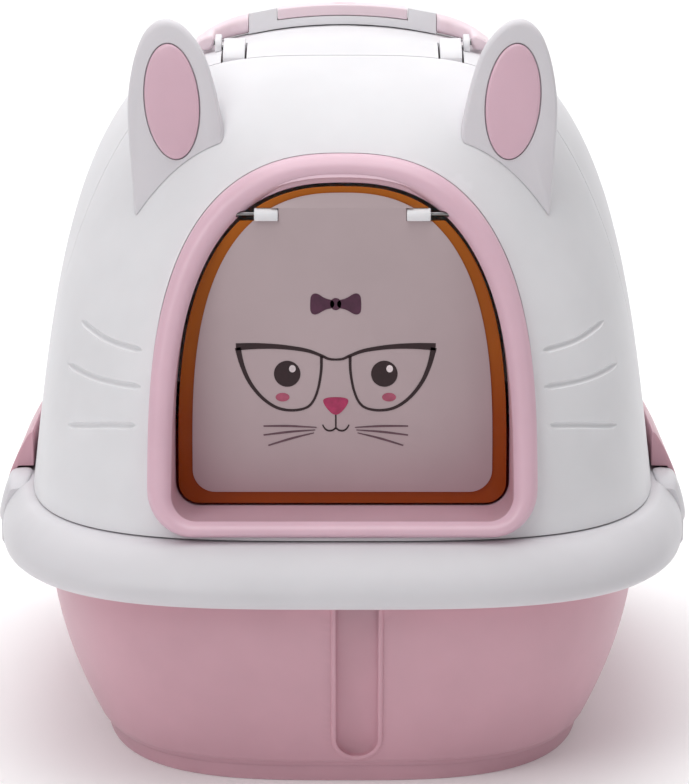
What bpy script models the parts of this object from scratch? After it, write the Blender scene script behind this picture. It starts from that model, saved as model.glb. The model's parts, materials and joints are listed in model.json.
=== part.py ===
"""Hooded cat litter box with cat ears, a swinging flap door and a carry handle.

Units are metres, +Z is up and the door faces -Y. The origin is the centre of the footprint on the floor.
"""

import math

import bmesh
import bpy
from mathutils import Matrix, Vector

# Driving dimensions
GAP = 0.0003            # clearance between neighbouring pieces
WALL = 0.003            # moulded wall thickness
AROUND = 48             # points around every oval section
PIN_SIDES = 12          # sides of the thin hinge pins and their bores

# Pan
PAN_FOOT = (0.1455, 0.2000)     # half width and half depth of the foot on the floor
PAN_FOOT_TOP = 0.0125
PAN_BASE = (0.1510, 0.2045)     # where the wall starts, just above the foot
PAN_GROW = 0.0275               # how far the wall flares by its top
PAN_WALL_TOP = 0.1130
PAN_FLANGE = (0.1965, 0.2455)
PAN_FLANGE_Z = (0.1165, 0.1190)
PAN_N = 3.15

# Channel down the front of the pan
CHANNEL_X = 0.0082
CHANNEL_HALF = 0.0155
CHANNEL_DEPTH = 0.009
CHANNEL_BOTTOM = 0.0170
CHANNEL_WALL = 0.0035

# Rim ring between the pan and the hood
RIM_N = 3.35

# Hood
HOOD_BASE_Z = 0.1475
HOOD_HEIGHT = 0.2680
HOOD_HALF = (0.1878, 0.2170)
DECK_TOP = 0.4135
DECK_CROWN = 1.84               # how fast the deck drops away from the middle
SEAM_Y = -0.0733                # the lid meets the rear shell in this plane

# Door
FACE_Y = -0.2220                # front plane of the door frame at FACE_Z
FACE_Z = 0.1500
FACE_LEAN = 0.3415              # metres back for each metre up
FRAME_OUT = {"half": 0.1097, "foot": 0.1495, "knee": 0.1800, "top": 0.3553, "corner": 0.026}
FRAME_IN = {"half": 0.0962, "foot": 0.1580, "knee": 0.1760, "top": 0.3411, "corner": 0.014}
PANEL = {"half": 0.0862, "foot": 0.1618, "knee": 0.1800, "top": 0.3360, "corner": 0.013}
TUNNEL_FOOT = 0.1530            # the sill drops to this height at the flap
TUNNEL_BACK_Y = -0.1555
FLAP_AXIS = (-0.1585, 0.3235)   # y and z of the flap's pivot, in the middle of the plate's thickness
FLAP_THICK = 0.003
FLAP_CLEAR = 0.0018
PANEL_THICK = 0.0012
TAB_X = (0.0365, 0.0500)        # the hinge tabs fill notches in the plate's edge
TAB_HALF_HEIGHT = 0.0034
TAB_PROFILE = (
    # y and z from the pivot, rounded so that the tab turns clear of the frame
    (0.0015, -0.0034), (0.0015, 0.0029), (0.0006, 0.0034), (-0.0012, 0.0033),
    (-0.0030, 0.0024), (-0.0044, 0.0008), (-0.0050, -0.0010), (-0.0050, -0.0034),
)
FLAP_PIN_R = 0.0011
FLAP_PIN_X = 0.0545
FLAP_PIN_LENGTH = 0.0180
FLAP_SOCKET_X = 0.0600
FLAP_SOCKET_R = 0.0019
FLAP_SOCKET_LENGTH = 0.0110

# Lid hinge, handle and latches
LID_AXIS = (-0.0470, 0.4055)
HANDLE_AXIS = (-0.0410, 0.4080)
LATCH_AXIS = (0.2048, 0.1260)

# Ears
EAR_FACE_Y = -0.1265
EAR_LEAN = 0.10                 # metres back for each metre up
EAR_TURN = 0.10                 # metres back for each metre outwards

PARTS = "cat_litter_box"
CUTTERS = "cutters"

WHITE = (0.86, 0.85, 0.87)
EAR_WHITE = (0.80, 0.79, 0.82)
PINK = (0.80, 0.55, 0.60)
PALE_PINK = (0.88, 0.74, 0.79)
FRAME_PINK = (0.86, 0.64, 0.70)
AMBER = (0.36, 0.10, 0.02)
FROST = (0.62, 0.54, 0.56)
STEEL = (0.55, 0.55, 0.56)


# ---------------------------------------------------------------- helpers

def clear_scene():
    for item in list(bpy.data.objects):
        bpy.data.objects.remove(item, do_unlink=True)


def collection(name):
    made = bpy.data.collections.new(name)
    bpy.context.scene.collection.children.link(made)
    return made


def material(name, colour, roughness=0.45, metallic=0.0):
    made = bpy.data.materials.new(name)
    made.use_nodes = True
    shader = made.node_tree.nodes["Principled BSDF"]
    shader.inputs["Base Color"].default_value = (*colour, 1.0)
    shader.inputs["Roughness"].default_value = roughness
    shader.inputs["Metallic"].default_value = metallic
    return made


def add_object(name, bm, where, colour=None, roughness=0.45, metallic=0.0):
    """A new object whose mesh is the bmesh, with its faces pointing out."""
    bmesh.ops.recalc_face_normals(bm, faces=bm.faces)
    mesh = bpy.data.meshes.new(name)
    bm.to_mesh(mesh)
    bm.free()
    made = bpy.data.objects.new(name, mesh)
    bpy.data.collections[where].objects.link(made)
    if colour is None:
        made.hide_render = True
        made.display_type = "WIRE"
    else:
        mesh.materials.append(material(name, colour, roughness, metallic))
        mesh.shade_smooth()
        mesh.set_sharp_from_angle(angle=math.radians(35))
    return made


def loft(rings, closed=False):
    """A surface through rings of equally many points, with its ends capped unless it is closed."""
    bm = bmesh.new()
    rows = [[bm.verts.new(p) for p in ring] for ring in rings]
    pairs = list(zip(rows, rows[1:]))
    if closed:
        pairs.append((rows[-1], rows[0]))
    for low, high in pairs:
        for i in range(len(low)):
            j = (i + 1) % len(low)
            bm.faces.new((low[i], low[j], high[j], high[i]))
    if not closed:
        bm.faces.new(list(reversed(rows[0])))
        bm.faces.new(rows[-1])
    return bm


def oval(half_x, half_y, power, z, count=AROUND):
    """Points of a superellipse, anticlockwise seen from above."""
    points = []
    for i in range(count):
        turn = 2 * math.pi * (i + 0.5) / count
        c, s = math.cos(turn), math.sin(turn)
        x = half_x * math.copysign(abs(c) ** (2 / power), c)
        y = half_y * math.copysign(abs(s) ** (2 / power), s)
        points.append((x, y, z))
    return points


def box(low, high):
    bm = bmesh.new()
    bmesh.ops.create_cube(bm, size=1.0)
    size = Vector(high) - Vector(low)
    middle = (Vector(high) + Vector(low)) / 2
    bmesh.ops.scale(bm, vec=size, verts=bm.verts)
    bmesh.ops.translate(bm, vec=middle, verts=bm.verts)
    return bm


def rod(centre, axis, radius, length, sides=16):
    """A cylinder centred on a point, along the X or Y axis."""
    bm = bmesh.new()
    bmesh.ops.create_cone(
        bm, cap_ends=True, segments=sides, radius1=radius, radius2=radius, depth=length
    )
    if axis == "X":
        turn = Matrix.Rotation(math.radians(90), 3, "Y")
    else:
        turn = Matrix.Rotation(math.radians(90), 3, "X")
    bmesh.ops.rotate(bm, matrix=turn, verts=bm.verts)
    bmesh.ops.translate(bm, vec=centre, verts=bm.verts)
    return bm


def bar(profile, low, high, axis="X"):
    """An outline of (y, z) points pushed along X, or of (x, z) points pushed along Y."""
    if axis == "X":
        rings = [[(level, a, b) for a, b in profile] for level in (low, high)]
    else:
        rings = [[(a, level, b) for a, b in profile] for level in (low, high)]
    return loft(rings)


def boolean(target, cutter, operation="DIFFERENCE"):
    step = target.modifiers.new(operation.lower(), "BOOLEAN")
    step.operation = operation
    step.object = cutter
    step.solver = "EXACT"


def cutter(name, bm):
    return add_object(name, bm, CUTTERS)


def set_origin(item, point):
    """Moves the object's origin to a point without moving its shape."""
    shift = Vector(point)
    item.data.transform(Matrix.Translation(-shift))
    item.location = shift


# ---------------------------------------------------------------- hood surface

def hood_section(w):
    """Half width, half depth, superellipse power and height of the hood at a share w of its height."""
    half_x = HOOD_HALF[0] * (1 - 0.146 * w) * (1 - w ** 3.3867) ** (1 / 3.3867)
    half_y = HOOD_HALF[1] * (1 - 0.1743 * w) * (1 - w ** 2.5) ** 0.4
    power = 3.39 - 1.75 * w + 2.2 * w ** 6
    return half_x, half_y, power, HOOD_BASE_Z + HOOD_HEIGHT * w


def hood_rings(offset=0.0, base_drop=0.0, steps=15):
    """Oval sections of the hood from its base to its top, grown outwards by an offset."""
    rings = []
    if base_drop:
        half_x, half_y, power, _ = hood_section(0.0)
        rings.append(oval(half_x + offset, half_y + offset, power, HOOD_BASE_Z - base_drop))
    for i in range(steps + 1):
        phi = math.pi / 2 * i / steps * 0.992
        w = math.sin(phi) ** 0.77
        half_x, half_y, power, z = hood_section(w)
        ring = []
        for x, y, _ in oval(half_x + offset, half_y + offset, power, z):
            deck = DECK_TOP - DECK_CROWN * x * x
            ring.append((x, y, min(z, deck) + offset))
        rings.append(ring)
    return rings


def hood_shell(name, keep_front):
    """One half of the hood: the shell in front of the seam or the shell behind it."""
    rings = hood_rings()
    bm = bmesh.new()
    rows = [[bm.verts.new(p) for p in ring] for ring in rings]
    for low, high in zip(rows, rows[1:]):
        for i in range(AROUND):
            j = (i + 1) % AROUND
            bm.faces.new((low[i], low[j], high[j], high[i]))
    bm.faces.new(rows[-1])
    shell = add_object(name, bm, PARTS, WHITE, 0.4)
    thick = shell.modifiers.new("wall", "SOLIDIFY")
    thick.thickness = WALL
    thick.offset = -1.0
    thick.use_even_offset = True
    reach = 0.5
    if keep_front:
        away = box((-reach, SEAM_Y - GAP, 0.0), (reach, reach, reach))
    else:
        away = box((-reach, -reach, 0.0), (reach, SEAM_Y + GAP, reach))
    boolean(shell, cutter(name + "_trim", away))
    return shell


# ---------------------------------------------------------------- pan and rim

def pan_wall(z):
    """Half width and half depth of the pan's outer wall at a height."""
    u = (z - PAN_FOOT_TOP) / (PAN_WALL_TOP - PAN_FOOT_TOP)
    grow = PAN_GROW * (1 - (1 - u) ** 1.8)
    return PAN_BASE[0] + grow, PAN_BASE[1] + grow


def make_pan():
    floor_half = (PAN_FOOT[0] * 0.5, PAN_FOOT[1] * 0.5)
    rings = [oval(*floor_half, PAN_N, 0.0), oval(*PAN_FOOT, PAN_N, 0.0)]
    rings.append(oval(PAN_FOOT[0] + 0.001, PAN_FOOT[1] + 0.001, PAN_N, PAN_FOOT_TOP))
    levels = (0.0135, 0.0180, 0.0300, 0.0480, 0.0700, 0.0920, PAN_WALL_TOP)
    for z in levels:
        rings.append(oval(*pan_wall(z), PAN_N, z))
    flange_low, flange_high = PAN_FLANGE_Z
    rings.append(oval(PAN_FLANGE[0], PAN_FLANGE[1], RIM_N, flange_low))
    rings.append(oval(PAN_FLANGE[0], PAN_FLANGE[1], RIM_N, flange_high))
    for z in (flange_high, *reversed(levels[1:])):
        half_x, half_y = pan_wall(min(z, PAN_WALL_TOP))
        rings.append(oval(half_x - WALL, half_y - WALL, PAN_N, z))
    inner = pan_wall(levels[1])
    rings.append(oval(inner[0] - 0.012, inner[1] - 0.012, PAN_N, 0.0065))
    rings.append(oval(*floor_half, PAN_N, 0.0050))
    pan = add_object("pan", loft(rings), PARTS, PINK, 0.4)

    def channel(half, depth, bottom, top, start, reach):
        """A U-shaped bar down the front wall, start deep at its edges, that stands out by reach."""
        outline = []
        for i in range(9):
            turn = math.pi * i / 8
            outline.append((half * math.cos(turn), start + depth * math.sin(turn) ** 0.7))
        if reach:
            outline += [(-half, -reach), (half, -reach)]
        stations = 6
        sections = []
        for i in range(stations):
            z = bottom + (top - bottom) * i / (stations - 1)
            front = -pan_wall(min(max(z, PAN_FOOT_TOP), PAN_WALL_TOP))[1]
            sections.append([(CHANNEL_X + x, front + y, z) for x, y in outline])
        return loft(sections)

    body_foot = CHANNEL_BOTTOM - WALL
    body = channel(CHANNEL_HALF, CHANNEL_DEPTH, body_foot, PAN_WALL_TOP - 0.0004, 0.0015, 0.0)
    boolean(pan, cutter("channel_body", body), "UNION")
    inside_half = CHANNEL_HALF - CHANNEL_WALL
    inside_top = flange_low + 0.02
    inside = channel(inside_half, CHANNEL_DEPTH - 0.0015, CHANNEL_BOTTOM, inside_top, 0.0, 0.02)
    boolean(pan, cutter("channel_inside", inside))
    return pan


RIM_SECTION = (
    # half width, half depth and height of each corner, from the crease round the outside and back inside
    (0.1885, 0.2180, 0.1465),
    (0.1940, 0.2265, 0.1455),
    (0.1995, 0.2360, 0.1405),
    (0.2038, 0.2440, 0.1335),
    (0.2060, 0.2488, 0.1260),
    (0.2052, 0.2496, 0.1195),
    (0.2015, 0.2480, 0.1165),
    (0.1975, 0.2462, 0.1165),
    (0.1972, 0.2462, 0.1193),
    (0.1925, 0.2425, 0.1193),
    (0.1925, 0.2425, 0.1222),
    (0.1962, 0.2445, 0.1235),
    (0.1958, 0.2425, 0.1310),
    (0.1935, 0.2345, 0.1375),
    (0.1905, 0.2260, 0.1420),
    (0.1870, 0.2165, 0.1435),
    (0.1800, 0.2092, 0.1435),
    (0.1800, 0.2092, 0.1482),
    (0.1804, 0.2096, 0.1488),
    (0.1818, 0.2110, 0.1488),
    (0.1826, 0.2118, 0.1482),
    (0.1828, 0.2120, 0.1465),
)

CHEEK = (
    # x and z round the raised cheek that holds a latch's pin
    (0.1990, 0.1195),
    (0.2062, 0.1197),
    (0.2083, 0.1225),
    (0.2081, 0.1290),
    (0.2057, 0.1385),
    (0.2030, 0.1465),
    (0.2000, 0.1490),
    (0.1893, 0.1494),
    (0.1892, 0.1440),
)
CHEEK_ROOT = (0.1965, 0.1330)
CHEEK_ENDS = ((0.0506, 1.0), (0.0680, 0.985), (0.0760, 0.90), (0.0820, 0.66))
LUG = (
    # x and z of the lug that hangs below a cheek
    (0.2020, 0.1215), (0.2020, 0.1070), (0.2036, 0.1040),
    (0.2062, 0.1040), (0.2078, 0.1070), (0.2078, 0.1215),
)
LUG_Y = (0.0508, 0.0640)
LEVER_HALF = 0.0500
LEVER_BARREL_R = 0.0033
LATCH_PIN_R = 0.0016
LATCH_PIN_LENGTH = 0.1150
RECESS = (
    # x and z of the space cut into the ring for a lever
    (0.2100, 0.1215),
    (0.2010, 0.1215),
    (0.2008, 0.1310),
    (0.1992, 0.1370),
    (0.1968, 0.1432),
    (0.1945, 0.1500),
    (0.2100, 0.1500),
)
LEVER_OUTER = (
    # x and z up the outside of a lever, then down its inside in LEVER_INNER
    (0.2081, 0.1262), (0.2078, 0.1310), (0.2058, 0.1385), (0.2026, 0.1480),
    (0.1990, 0.1562), (0.1948, 0.1642), (0.1918, 0.1692), (0.1896, 0.1712),
)
LEVER_INNER = (
    (0.1889, 0.1700), (0.1889, 0.1500), (0.1985, 0.1498),
    (0.2012, 0.1420), (0.2028, 0.1360), (0.2032, 0.1300),
)


def make_rim():
    rings = [oval(a, b, RIM_N, z) for a, b, z in RIM_SECTION]
    rim = add_object("rim_ring", loft(rings, closed=True), PARTS, WHITE, 0.4)
    for side, side_name in ((-1, "left"), (1, "right")):
        for end, end_name in ((-1, "front"), (1, "rear")):
            sections = []
            for y, scale in CHEEK_ENDS:
                section = []
                for x, z in CHEEK:
                    grown_x = CHEEK_ROOT[0] + (x - CHEEK_ROOT[0]) * scale
                    grown_z = CHEEK_ROOT[1] + (z - CHEEK_ROOT[1]) * scale
                    section.append((side * grown_x, end * y, grown_z))
                sections.append(section)
            cheek = cutter(f"cheek_{side_name}_{end_name}", loft(sections))
            boolean(rim, cheek, "UNION")
            low, high = sorted(end * y for y in LUG_Y)
            lug = bar([(side * x, z) for x, z in LUG], low, high, "Y")
            boolean(rim, cutter(f"lug_{side_name}_{end_name}", lug), "UNION")
        recess_half = CHEEK_ENDS[0][0] - 0.0001
        recess = bar([(side * x, z) for x, z in RECESS], -recess_half, recess_half, "Y")
        boolean(rim, cutter(f"latch_recess_{side_name}", recess))
        centre = (side * LATCH_AXIS[0], 0.0, LATCH_AXIS[1])
        bore = rod(centre, "Y", LATCH_PIN_R + GAP, LATCH_PIN_LENGTH + 4 * GAP)
        boolean(rim, cutter(f"latch_bore_{side_name}", bore))
    return rim


def make_latches():
    """Levers that swing up against the hood on a pin along Y."""
    barrel = []
    for i in range(6):
        turn = math.radians(195 + 165 * i / 5)
        x = LATCH_AXIS[0] + LEVER_BARREL_R * math.cos(turn)
        barrel.append((x, LATCH_AXIS[1] + LEVER_BARREL_R * math.sin(turn)))
    profile = list(LEVER_OUTER) + list(LEVER_INNER) + barrel[:-1]
    for side, side_name in ((-1, "left"), (1, "right")):
        shape = [(side * x, z) for x, z in profile]
        lever = add_object(
            f"latch_{side_name}", bar(shape, -LEVER_HALF, LEVER_HALF, "Y"), PARTS, PINK, 0.4
        )
        centre = (side * LATCH_AXIS[0], 0.0, LATCH_AXIS[1])
        set_origin(lever, centre)
        eye = rod(centre, "Y", LATCH_PIN_R + GAP, LATCH_PIN_LENGTH)
        boolean(lever, cutter(f"latch_eye_{side_name}", eye))
        pin = rod(centre, "Y", LATCH_PIN_R, LATCH_PIN_LENGTH)
        set_origin(add_object(f"latch_pin_{side_name}", pin, PARTS, STEEL, 0.3, 1.0), centre)


# ---------------------------------------------------------------- door

def arch(half, foot, knee, top, corner):
    """The door's outline in X and Z: rounded foot corners, upright sides and a full round head."""
    points = []
    corner_steps = 5
    for i in range(corner_steps + 1):
        turn = math.radians(-90 + 90 * i / corner_steps)
        points.append((half - corner + corner * math.cos(turn), foot + corner + corner * math.sin(turn)))
    head_steps = 18
    for i in range(head_steps + 1):
        turn = math.pi / 2 * i / head_steps
        x = half * math.cos(turn) ** (2 / 2.5)
        z = knee + (top - knee) * math.sin(turn) ** (2 / 2.8)
        if i < head_steps:
            points.append((x, z))
    left = [(-x, z) for x, z in reversed(points)]
    return points + [(0.0, top)] + left


def face_y(z):
    return FACE_Y + FACE_LEAN * (z - FACE_Z)


def between(inner, outer, share):
    return [
        (a[0] + (b[0] - a[0]) * share, a[1] + (b[1] - a[1]) * share) for a, b in zip(inner, outer)
    ]


def grown(shape, by):
    """The arch's sizes moved outwards all round by a distance."""
    return {
        "half": shape["half"] + by,
        "foot": shape["foot"] - by,
        "knee": shape["knee"],
        "top": shape["top"] + by,
        "corner": shape["corner"] + by,
    }


def make_frame():
    """The leaning door surround with the tunnel that the flap hangs in."""
    outer = arch(**FRAME_OUT)
    inner = arch(**FRAME_IN)
    tunnel_shape = {**FRAME_IN, "foot": TUNNEL_FOOT}
    tunnel = arch(**tunnel_shape)

    def on_face(outline, back):
        return [(x, face_y(z) + back, z) for x, z in outline]

    def at_depth(outline, y):
        return [(x, y, z) for x, z in outline]

    rings = [
        on_face(outer, 0.0040),
        on_face(between(inner, outer, 0.93), 0.0012),
        on_face(between(inner, outer, 0.80), 0.0),
        on_face(between(inner, outer, 0.14), 0.0),
        on_face(inner, 0.0018),
        at_depth(tunnel, TUNNEL_BACK_Y),
        at_depth(arch(**grown(tunnel_shape, 0.0028)), TUNNEL_BACK_Y),
        on_face(arch(**grown(FRAME_IN, 0.0030)), 0.0055),
        on_face(arch(**grown(FRAME_OUT, -0.0030)), 0.0055),
        on_face(arch(**grown(FRAME_OUT, -0.0025)), 0.0160),
        on_face(outer, 0.0160),
    ]
    # the tunnel's back edge has to stay behind the leaning face at the head of the arch
    back_edge = rings[6]
    roof = rings[7]
    for i, (edge, above) in enumerate(zip(back_edge, roof)):
        if above[1] > edge[1] - 0.001:
            roof[i] = (above[0], edge[1] - 0.001, above[2])
    frame = add_object("door_frame", loft(rings, closed=True), PARTS, FRAME_PINK, 0.4)
    for side, side_name in ((-1, "left"), (1, "right")):
        centre = (side * FLAP_SOCKET_X, *FLAP_AXIS)
        socket = rod(centre, "X", FLAP_SOCKET_R, FLAP_SOCKET_LENGTH)
        boolean(frame, cutter(f"flap_socket_{side_name}", socket))
    return frame


def make_door_hole(lid):
    outline = arch(**grown(FRAME_OUT, GAP))
    hole = loft([[(x, y, z) for x, z in outline] for y in (-0.26, -0.10)])
    boolean(lid, cutter("door_hole", hole))


def make_flap():
    """The tinted flap, its frosted panel, and the tabs and pins it swings on."""
    pivot = (0.0, *FLAP_AXIS)
    back = FLAP_AXIS[0] + FLAP_THICK / 2
    front = FLAP_AXIS[0] - FLAP_THICK / 2
    outline = arch(**grown({**FRAME_IN, "foot": TUNNEL_FOOT}, -FLAP_CLEAR))
    plate = add_object(
        "flap", loft([[(x, y, z) for x, z in outline] for y in (front, back)]), PARTS, AMBER, 0.15
    )
    set_origin(plate, pivot)
    panel_front = front - GAP - PANEL_THICK
    outline = arch(**PANEL)
    panel = add_object(
        "flap_panel",
        loft([[(x, y, z) for x, z in outline] for y in (panel_front, front - GAP)]),
        PARTS, FROST, 0.35,
    )
    set_origin(panel, pivot)
    for side, side_name in ((-1, "left"), (1, "right")):
        low, high = sorted((side * (TAB_X[0] - GAP), side * 0.09))
        notch_half = TAB_HALF_HEIGHT + GAP
        notch = cutter(
            f"flap_notch_{side_name}",
            box((low, -0.17, pivot[2] - notch_half), (high, -0.15, pivot[2] + notch_half)),
        )
        boolean(plate, notch)
        boolean(panel, notch)
        low, high = sorted((side * TAB_X[0], side * TAB_X[1]))
        profile = [(pivot[1] + y, pivot[2] + z) for y, z in TAB_PROFILE]
        tab = add_object(f"flap_tab_{side_name}", bar(profile, low, high), PARTS, WHITE, 0.35)
        set_origin(tab, pivot)
        centre = (side * TAB_X[1], *FLAP_AXIS)
        bore = rod(centre, "X", FLAP_PIN_R + GAP, 0.0160, PIN_SIDES)
        boolean(tab, cutter(f"flap_tab_bore_{side_name}", bore))
        centre = (side * FLAP_PIN_X, *FLAP_AXIS)
        pin = rod(centre, "X", FLAP_PIN_R, FLAP_PIN_LENGTH, PIN_SIDES)
        set_origin(add_object(f"flap_pin_{side_name}", pin, PARTS, STEEL, 0.3, 1.0), pivot)


# ---------------------------------------------------------------- ears

EAR_OUTLINE = (
    # x and z of the right ear, anticlockwise from the lower outer corner
    (0.1200, 0.3120),
    (0.1222, 0.3440),
    (0.1238, 0.3700),
    (0.1234, 0.3870),
    (0.1203, 0.4050),
    (0.1152, 0.4190),
    (0.1085, 0.4268),
    (0.1015, 0.4290),
    (0.0940, 0.4268),
    (0.0868, 0.4205),
    (0.0800, 0.4105),
    (0.0745, 0.3950),
    (0.0704, 0.3780),
    (0.0682, 0.3640),
    (0.0682, 0.3400),
)
EAR_MIDDLE = (0.0985, 0.3730)
EAR_FOOT_Z = 0.3250
EAR_SECTIONS = (
    # distance behind the ear's face and size there, from the front to the back
    (0.0, 0.955), (0.0018, 0.99), (0.0060, 1.0), (0.0150, 0.96), (0.0240, 0.84), (0.0300, 0.66),
)
EAR_ROOT_TOP = 0.3500           # below this the ear keeps its height where it runs into the hood
INSERT_CENTRE = (0.0980, 0.3826)
INSERT_LAYERS = (
    # how much smaller the insert is and its distance behind the ear's face
    (0.0007, 0.0016), (0.0007, -0.0006), (0.0030, -0.0016), (0.0075, -0.0022),
)
INSERT_HALF = (0.0163, 0.0335)
INSERT_TILT = 5.0


def ear_y(x, z):
    return EAR_FACE_Y + EAR_LEAN * (z - EAR_FOOT_Z) + EAR_TURN * (x - EAR_MIDDLE[0])


def insert_outline(shrink):
    tilt = math.radians(-INSERT_TILT)
    points = []
    steps = 28
    for i in range(steps):
        turn = 2 * math.pi * i / steps
        u = (INSERT_HALF[0] - shrink) * math.cos(turn)
        v = (INSERT_HALF[1] - shrink) * math.sin(turn)
        x = INSERT_CENTRE[0] + u * math.cos(tilt) + v * math.sin(-tilt)
        z = INSERT_CENTRE[1] - u * math.sin(-tilt) + v * math.cos(tilt)
        points.append((x, z))
    return points


def make_ears(envelope):
    for side, side_name in ((-1, "left"), (1, "right")):
        sections = []
        for back, scale in EAR_SECTIONS:
            section = []
            for x, z in EAR_OUTLINE:
                grown_x = EAR_MIDDLE[0] + (x - EAR_MIDDLE[0]) * scale
                grown_z = EAR_MIDDLE[1] + (z - EAR_MIDDLE[1]) * scale
                if z < EAR_ROOT_TOP:
                    grown_z = z
                section.append((side * grown_x, ear_y(grown_x, grown_z) + back, grown_z))
            sections.append(section)
        ear = add_object(f"ear_{side_name}", loft(sections), PARTS, EAR_WHITE, 0.4)
        boolean(ear, envelope)
        pocket = [
            [(side * x, ear_y(x, z) + back, z) for x, z in insert_outline(0.0)]
            for back in (-0.01, 0.0020)
        ]
        boolean(ear, cutter(f"ear_pocket_{side_name}", loft(pocket)))
        layers = []
        for shrink, back in INSERT_LAYERS:
            layers.append([(side * x, ear_y(x, z) + back, z) for x, z in insert_outline(shrink)])
        add_object(f"ear_insert_{side_name}", loft(layers), PARTS, FRAME_PINK, 0.4)


# ---------------------------------------------------------------- lid hinge

KNUCKLE_X = (0.0576, 0.0704)
KNUCKLE_R = 0.0055
NOTCH_X = (0.0564, 0.0716)
BRACKET_X = (0.0719, 0.0757)
BRACKET_R = 0.0058
LID_PIN_R = 0.0014
LID_PIN_X = 0.0671
LID_PIN_LENGTH = 0.0162


def make_lid_hinge(rear):
    axis_y, axis_z = LID_AXIS
    for side, side_name in ((-1, "left"), (1, "right")):
        profile = []
        for i in range(9):
            turn = math.radians(-70 + 170 * i / 8)
            profile.append((axis_y + KNUCKLE_R * math.cos(turn), axis_z + KNUCKLE_R * math.sin(turn)))
        profile += [
            (-0.0600, 0.4085), (-0.0690, 0.4052), (-0.0718, 0.4020), (-0.0720, 0.3925),
            (-0.0905, 0.3850), (-0.0905, 0.3820), (-0.0710, 0.3885), (-0.0560, 0.3985),
        ]
        low, high = sorted(side * x for x in KNUCKLE_X)
        knuckle = add_object(f"lid_hinge_arm_{side_name}", bar(profile, low, high), PARTS, WHITE, 0.4)
        set_origin(knuckle, (0.0, axis_y, axis_z))
        middle = (side * sum(KNUCKLE_X) / 2, axis_y, axis_z)
        bore = rod(middle, "X", LID_PIN_R + GAP, 0.0200, PIN_SIDES)
        boolean(knuckle, cutter(f"knuckle_bore_{side_name}", bore))
        pin = rod((side * LID_PIN_X, axis_y, axis_z), "X", LID_PIN_R, LID_PIN_LENGTH, PIN_SIDES)
        pin = add_object(f"lid_hinge_pin_{side_name}", pin, PARTS, STEEL, 0.3, 1.0)
        set_origin(pin, (0.0, axis_y, axis_z))
        low, high = sorted(side * x for x in NOTCH_X)
        boolean(rear, cutter(f"lid_notch_{side_name}", box((low, -0.080, 0.375), (high, -0.0400, 0.43))))


def make_top_brackets(envelope):
    """Upright plates on the deck that hold the lid's hinge pin in front and the handle's pin behind."""
    axis_y, axis_z = LID_AXIS
    for side, side_name in ((-1, "left"), (1, "right")):
        plate = [(axis_y - BRACKET_R, 0.3950)]
        for i in range(5):
            turn = math.radians(180 - 90 * i / 4)
            plate.append((axis_y + BRACKET_R * math.cos(turn), axis_z + BRACKET_R * math.sin(turn)))
        plate += [(-0.0410, 0.4128), (-0.0370, 0.4118), (-0.0355, 0.4090), (-0.0355, 0.3950)]
        low, high = sorted(side * x for x in BRACKET_X)
        bracket = add_object(f"top_bracket_{side_name}", bar(plate, low, high), PARTS, WHITE, 0.4)
        boolean(bracket, envelope)
        middle = (side * LID_PIN_X, axis_y, axis_z)
        bore = rod(middle, "X", LID_PIN_R + GAP, 0.0200, PIN_SIDES)
        boolean(bracket, cutter(f"lid_pin_bore_{side_name}", bore))


# ---------------------------------------------------------------- handle

GRIP_Y = 0.0100
GRIP_HALF = 0.0090
ARM_X = 0.0825
ARM_HALF = 0.0058
BLOCK_X = (0.0400, 0.0570)
COVER_FOOT = 0.42               # share of the grip's height that lies under the pink cover
HANDLE_PIN_R = 0.0016
HANDLE_PIN_X = 0.0785
HANDLE_PIN_LENGTH = 0.0120


def handle_top(x):
    return max(0.4262 - 0.030 * (1 - math.sqrt(max(0.0, 1 - (x / 0.095) ** 2))), 0.4090)


def handle_bottom(x):
    deck = DECK_TOP + 0.0009 - DECK_CROWN * x * x
    return max(deck, 0.4036)


def arm_section(centre, across, half, crown):
    """A rounded rectangle across the handle's path."""
    section = []
    for s, t in ((-1, 0.25), (-1, 0.8), (-0.75, 1), (0.75, 1), (1, 0.8), (1, 0.25), (0.8, 0), (-0.8, 0)):
        x = centre[0] + across[0] * half * s
        y = centre[1] + across[1] * half * s
        low, high = handle_bottom(abs(x)), handle_top(abs(x)) + crown
        section.append((x, y, low + (high - low) * t))
    return section


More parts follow.
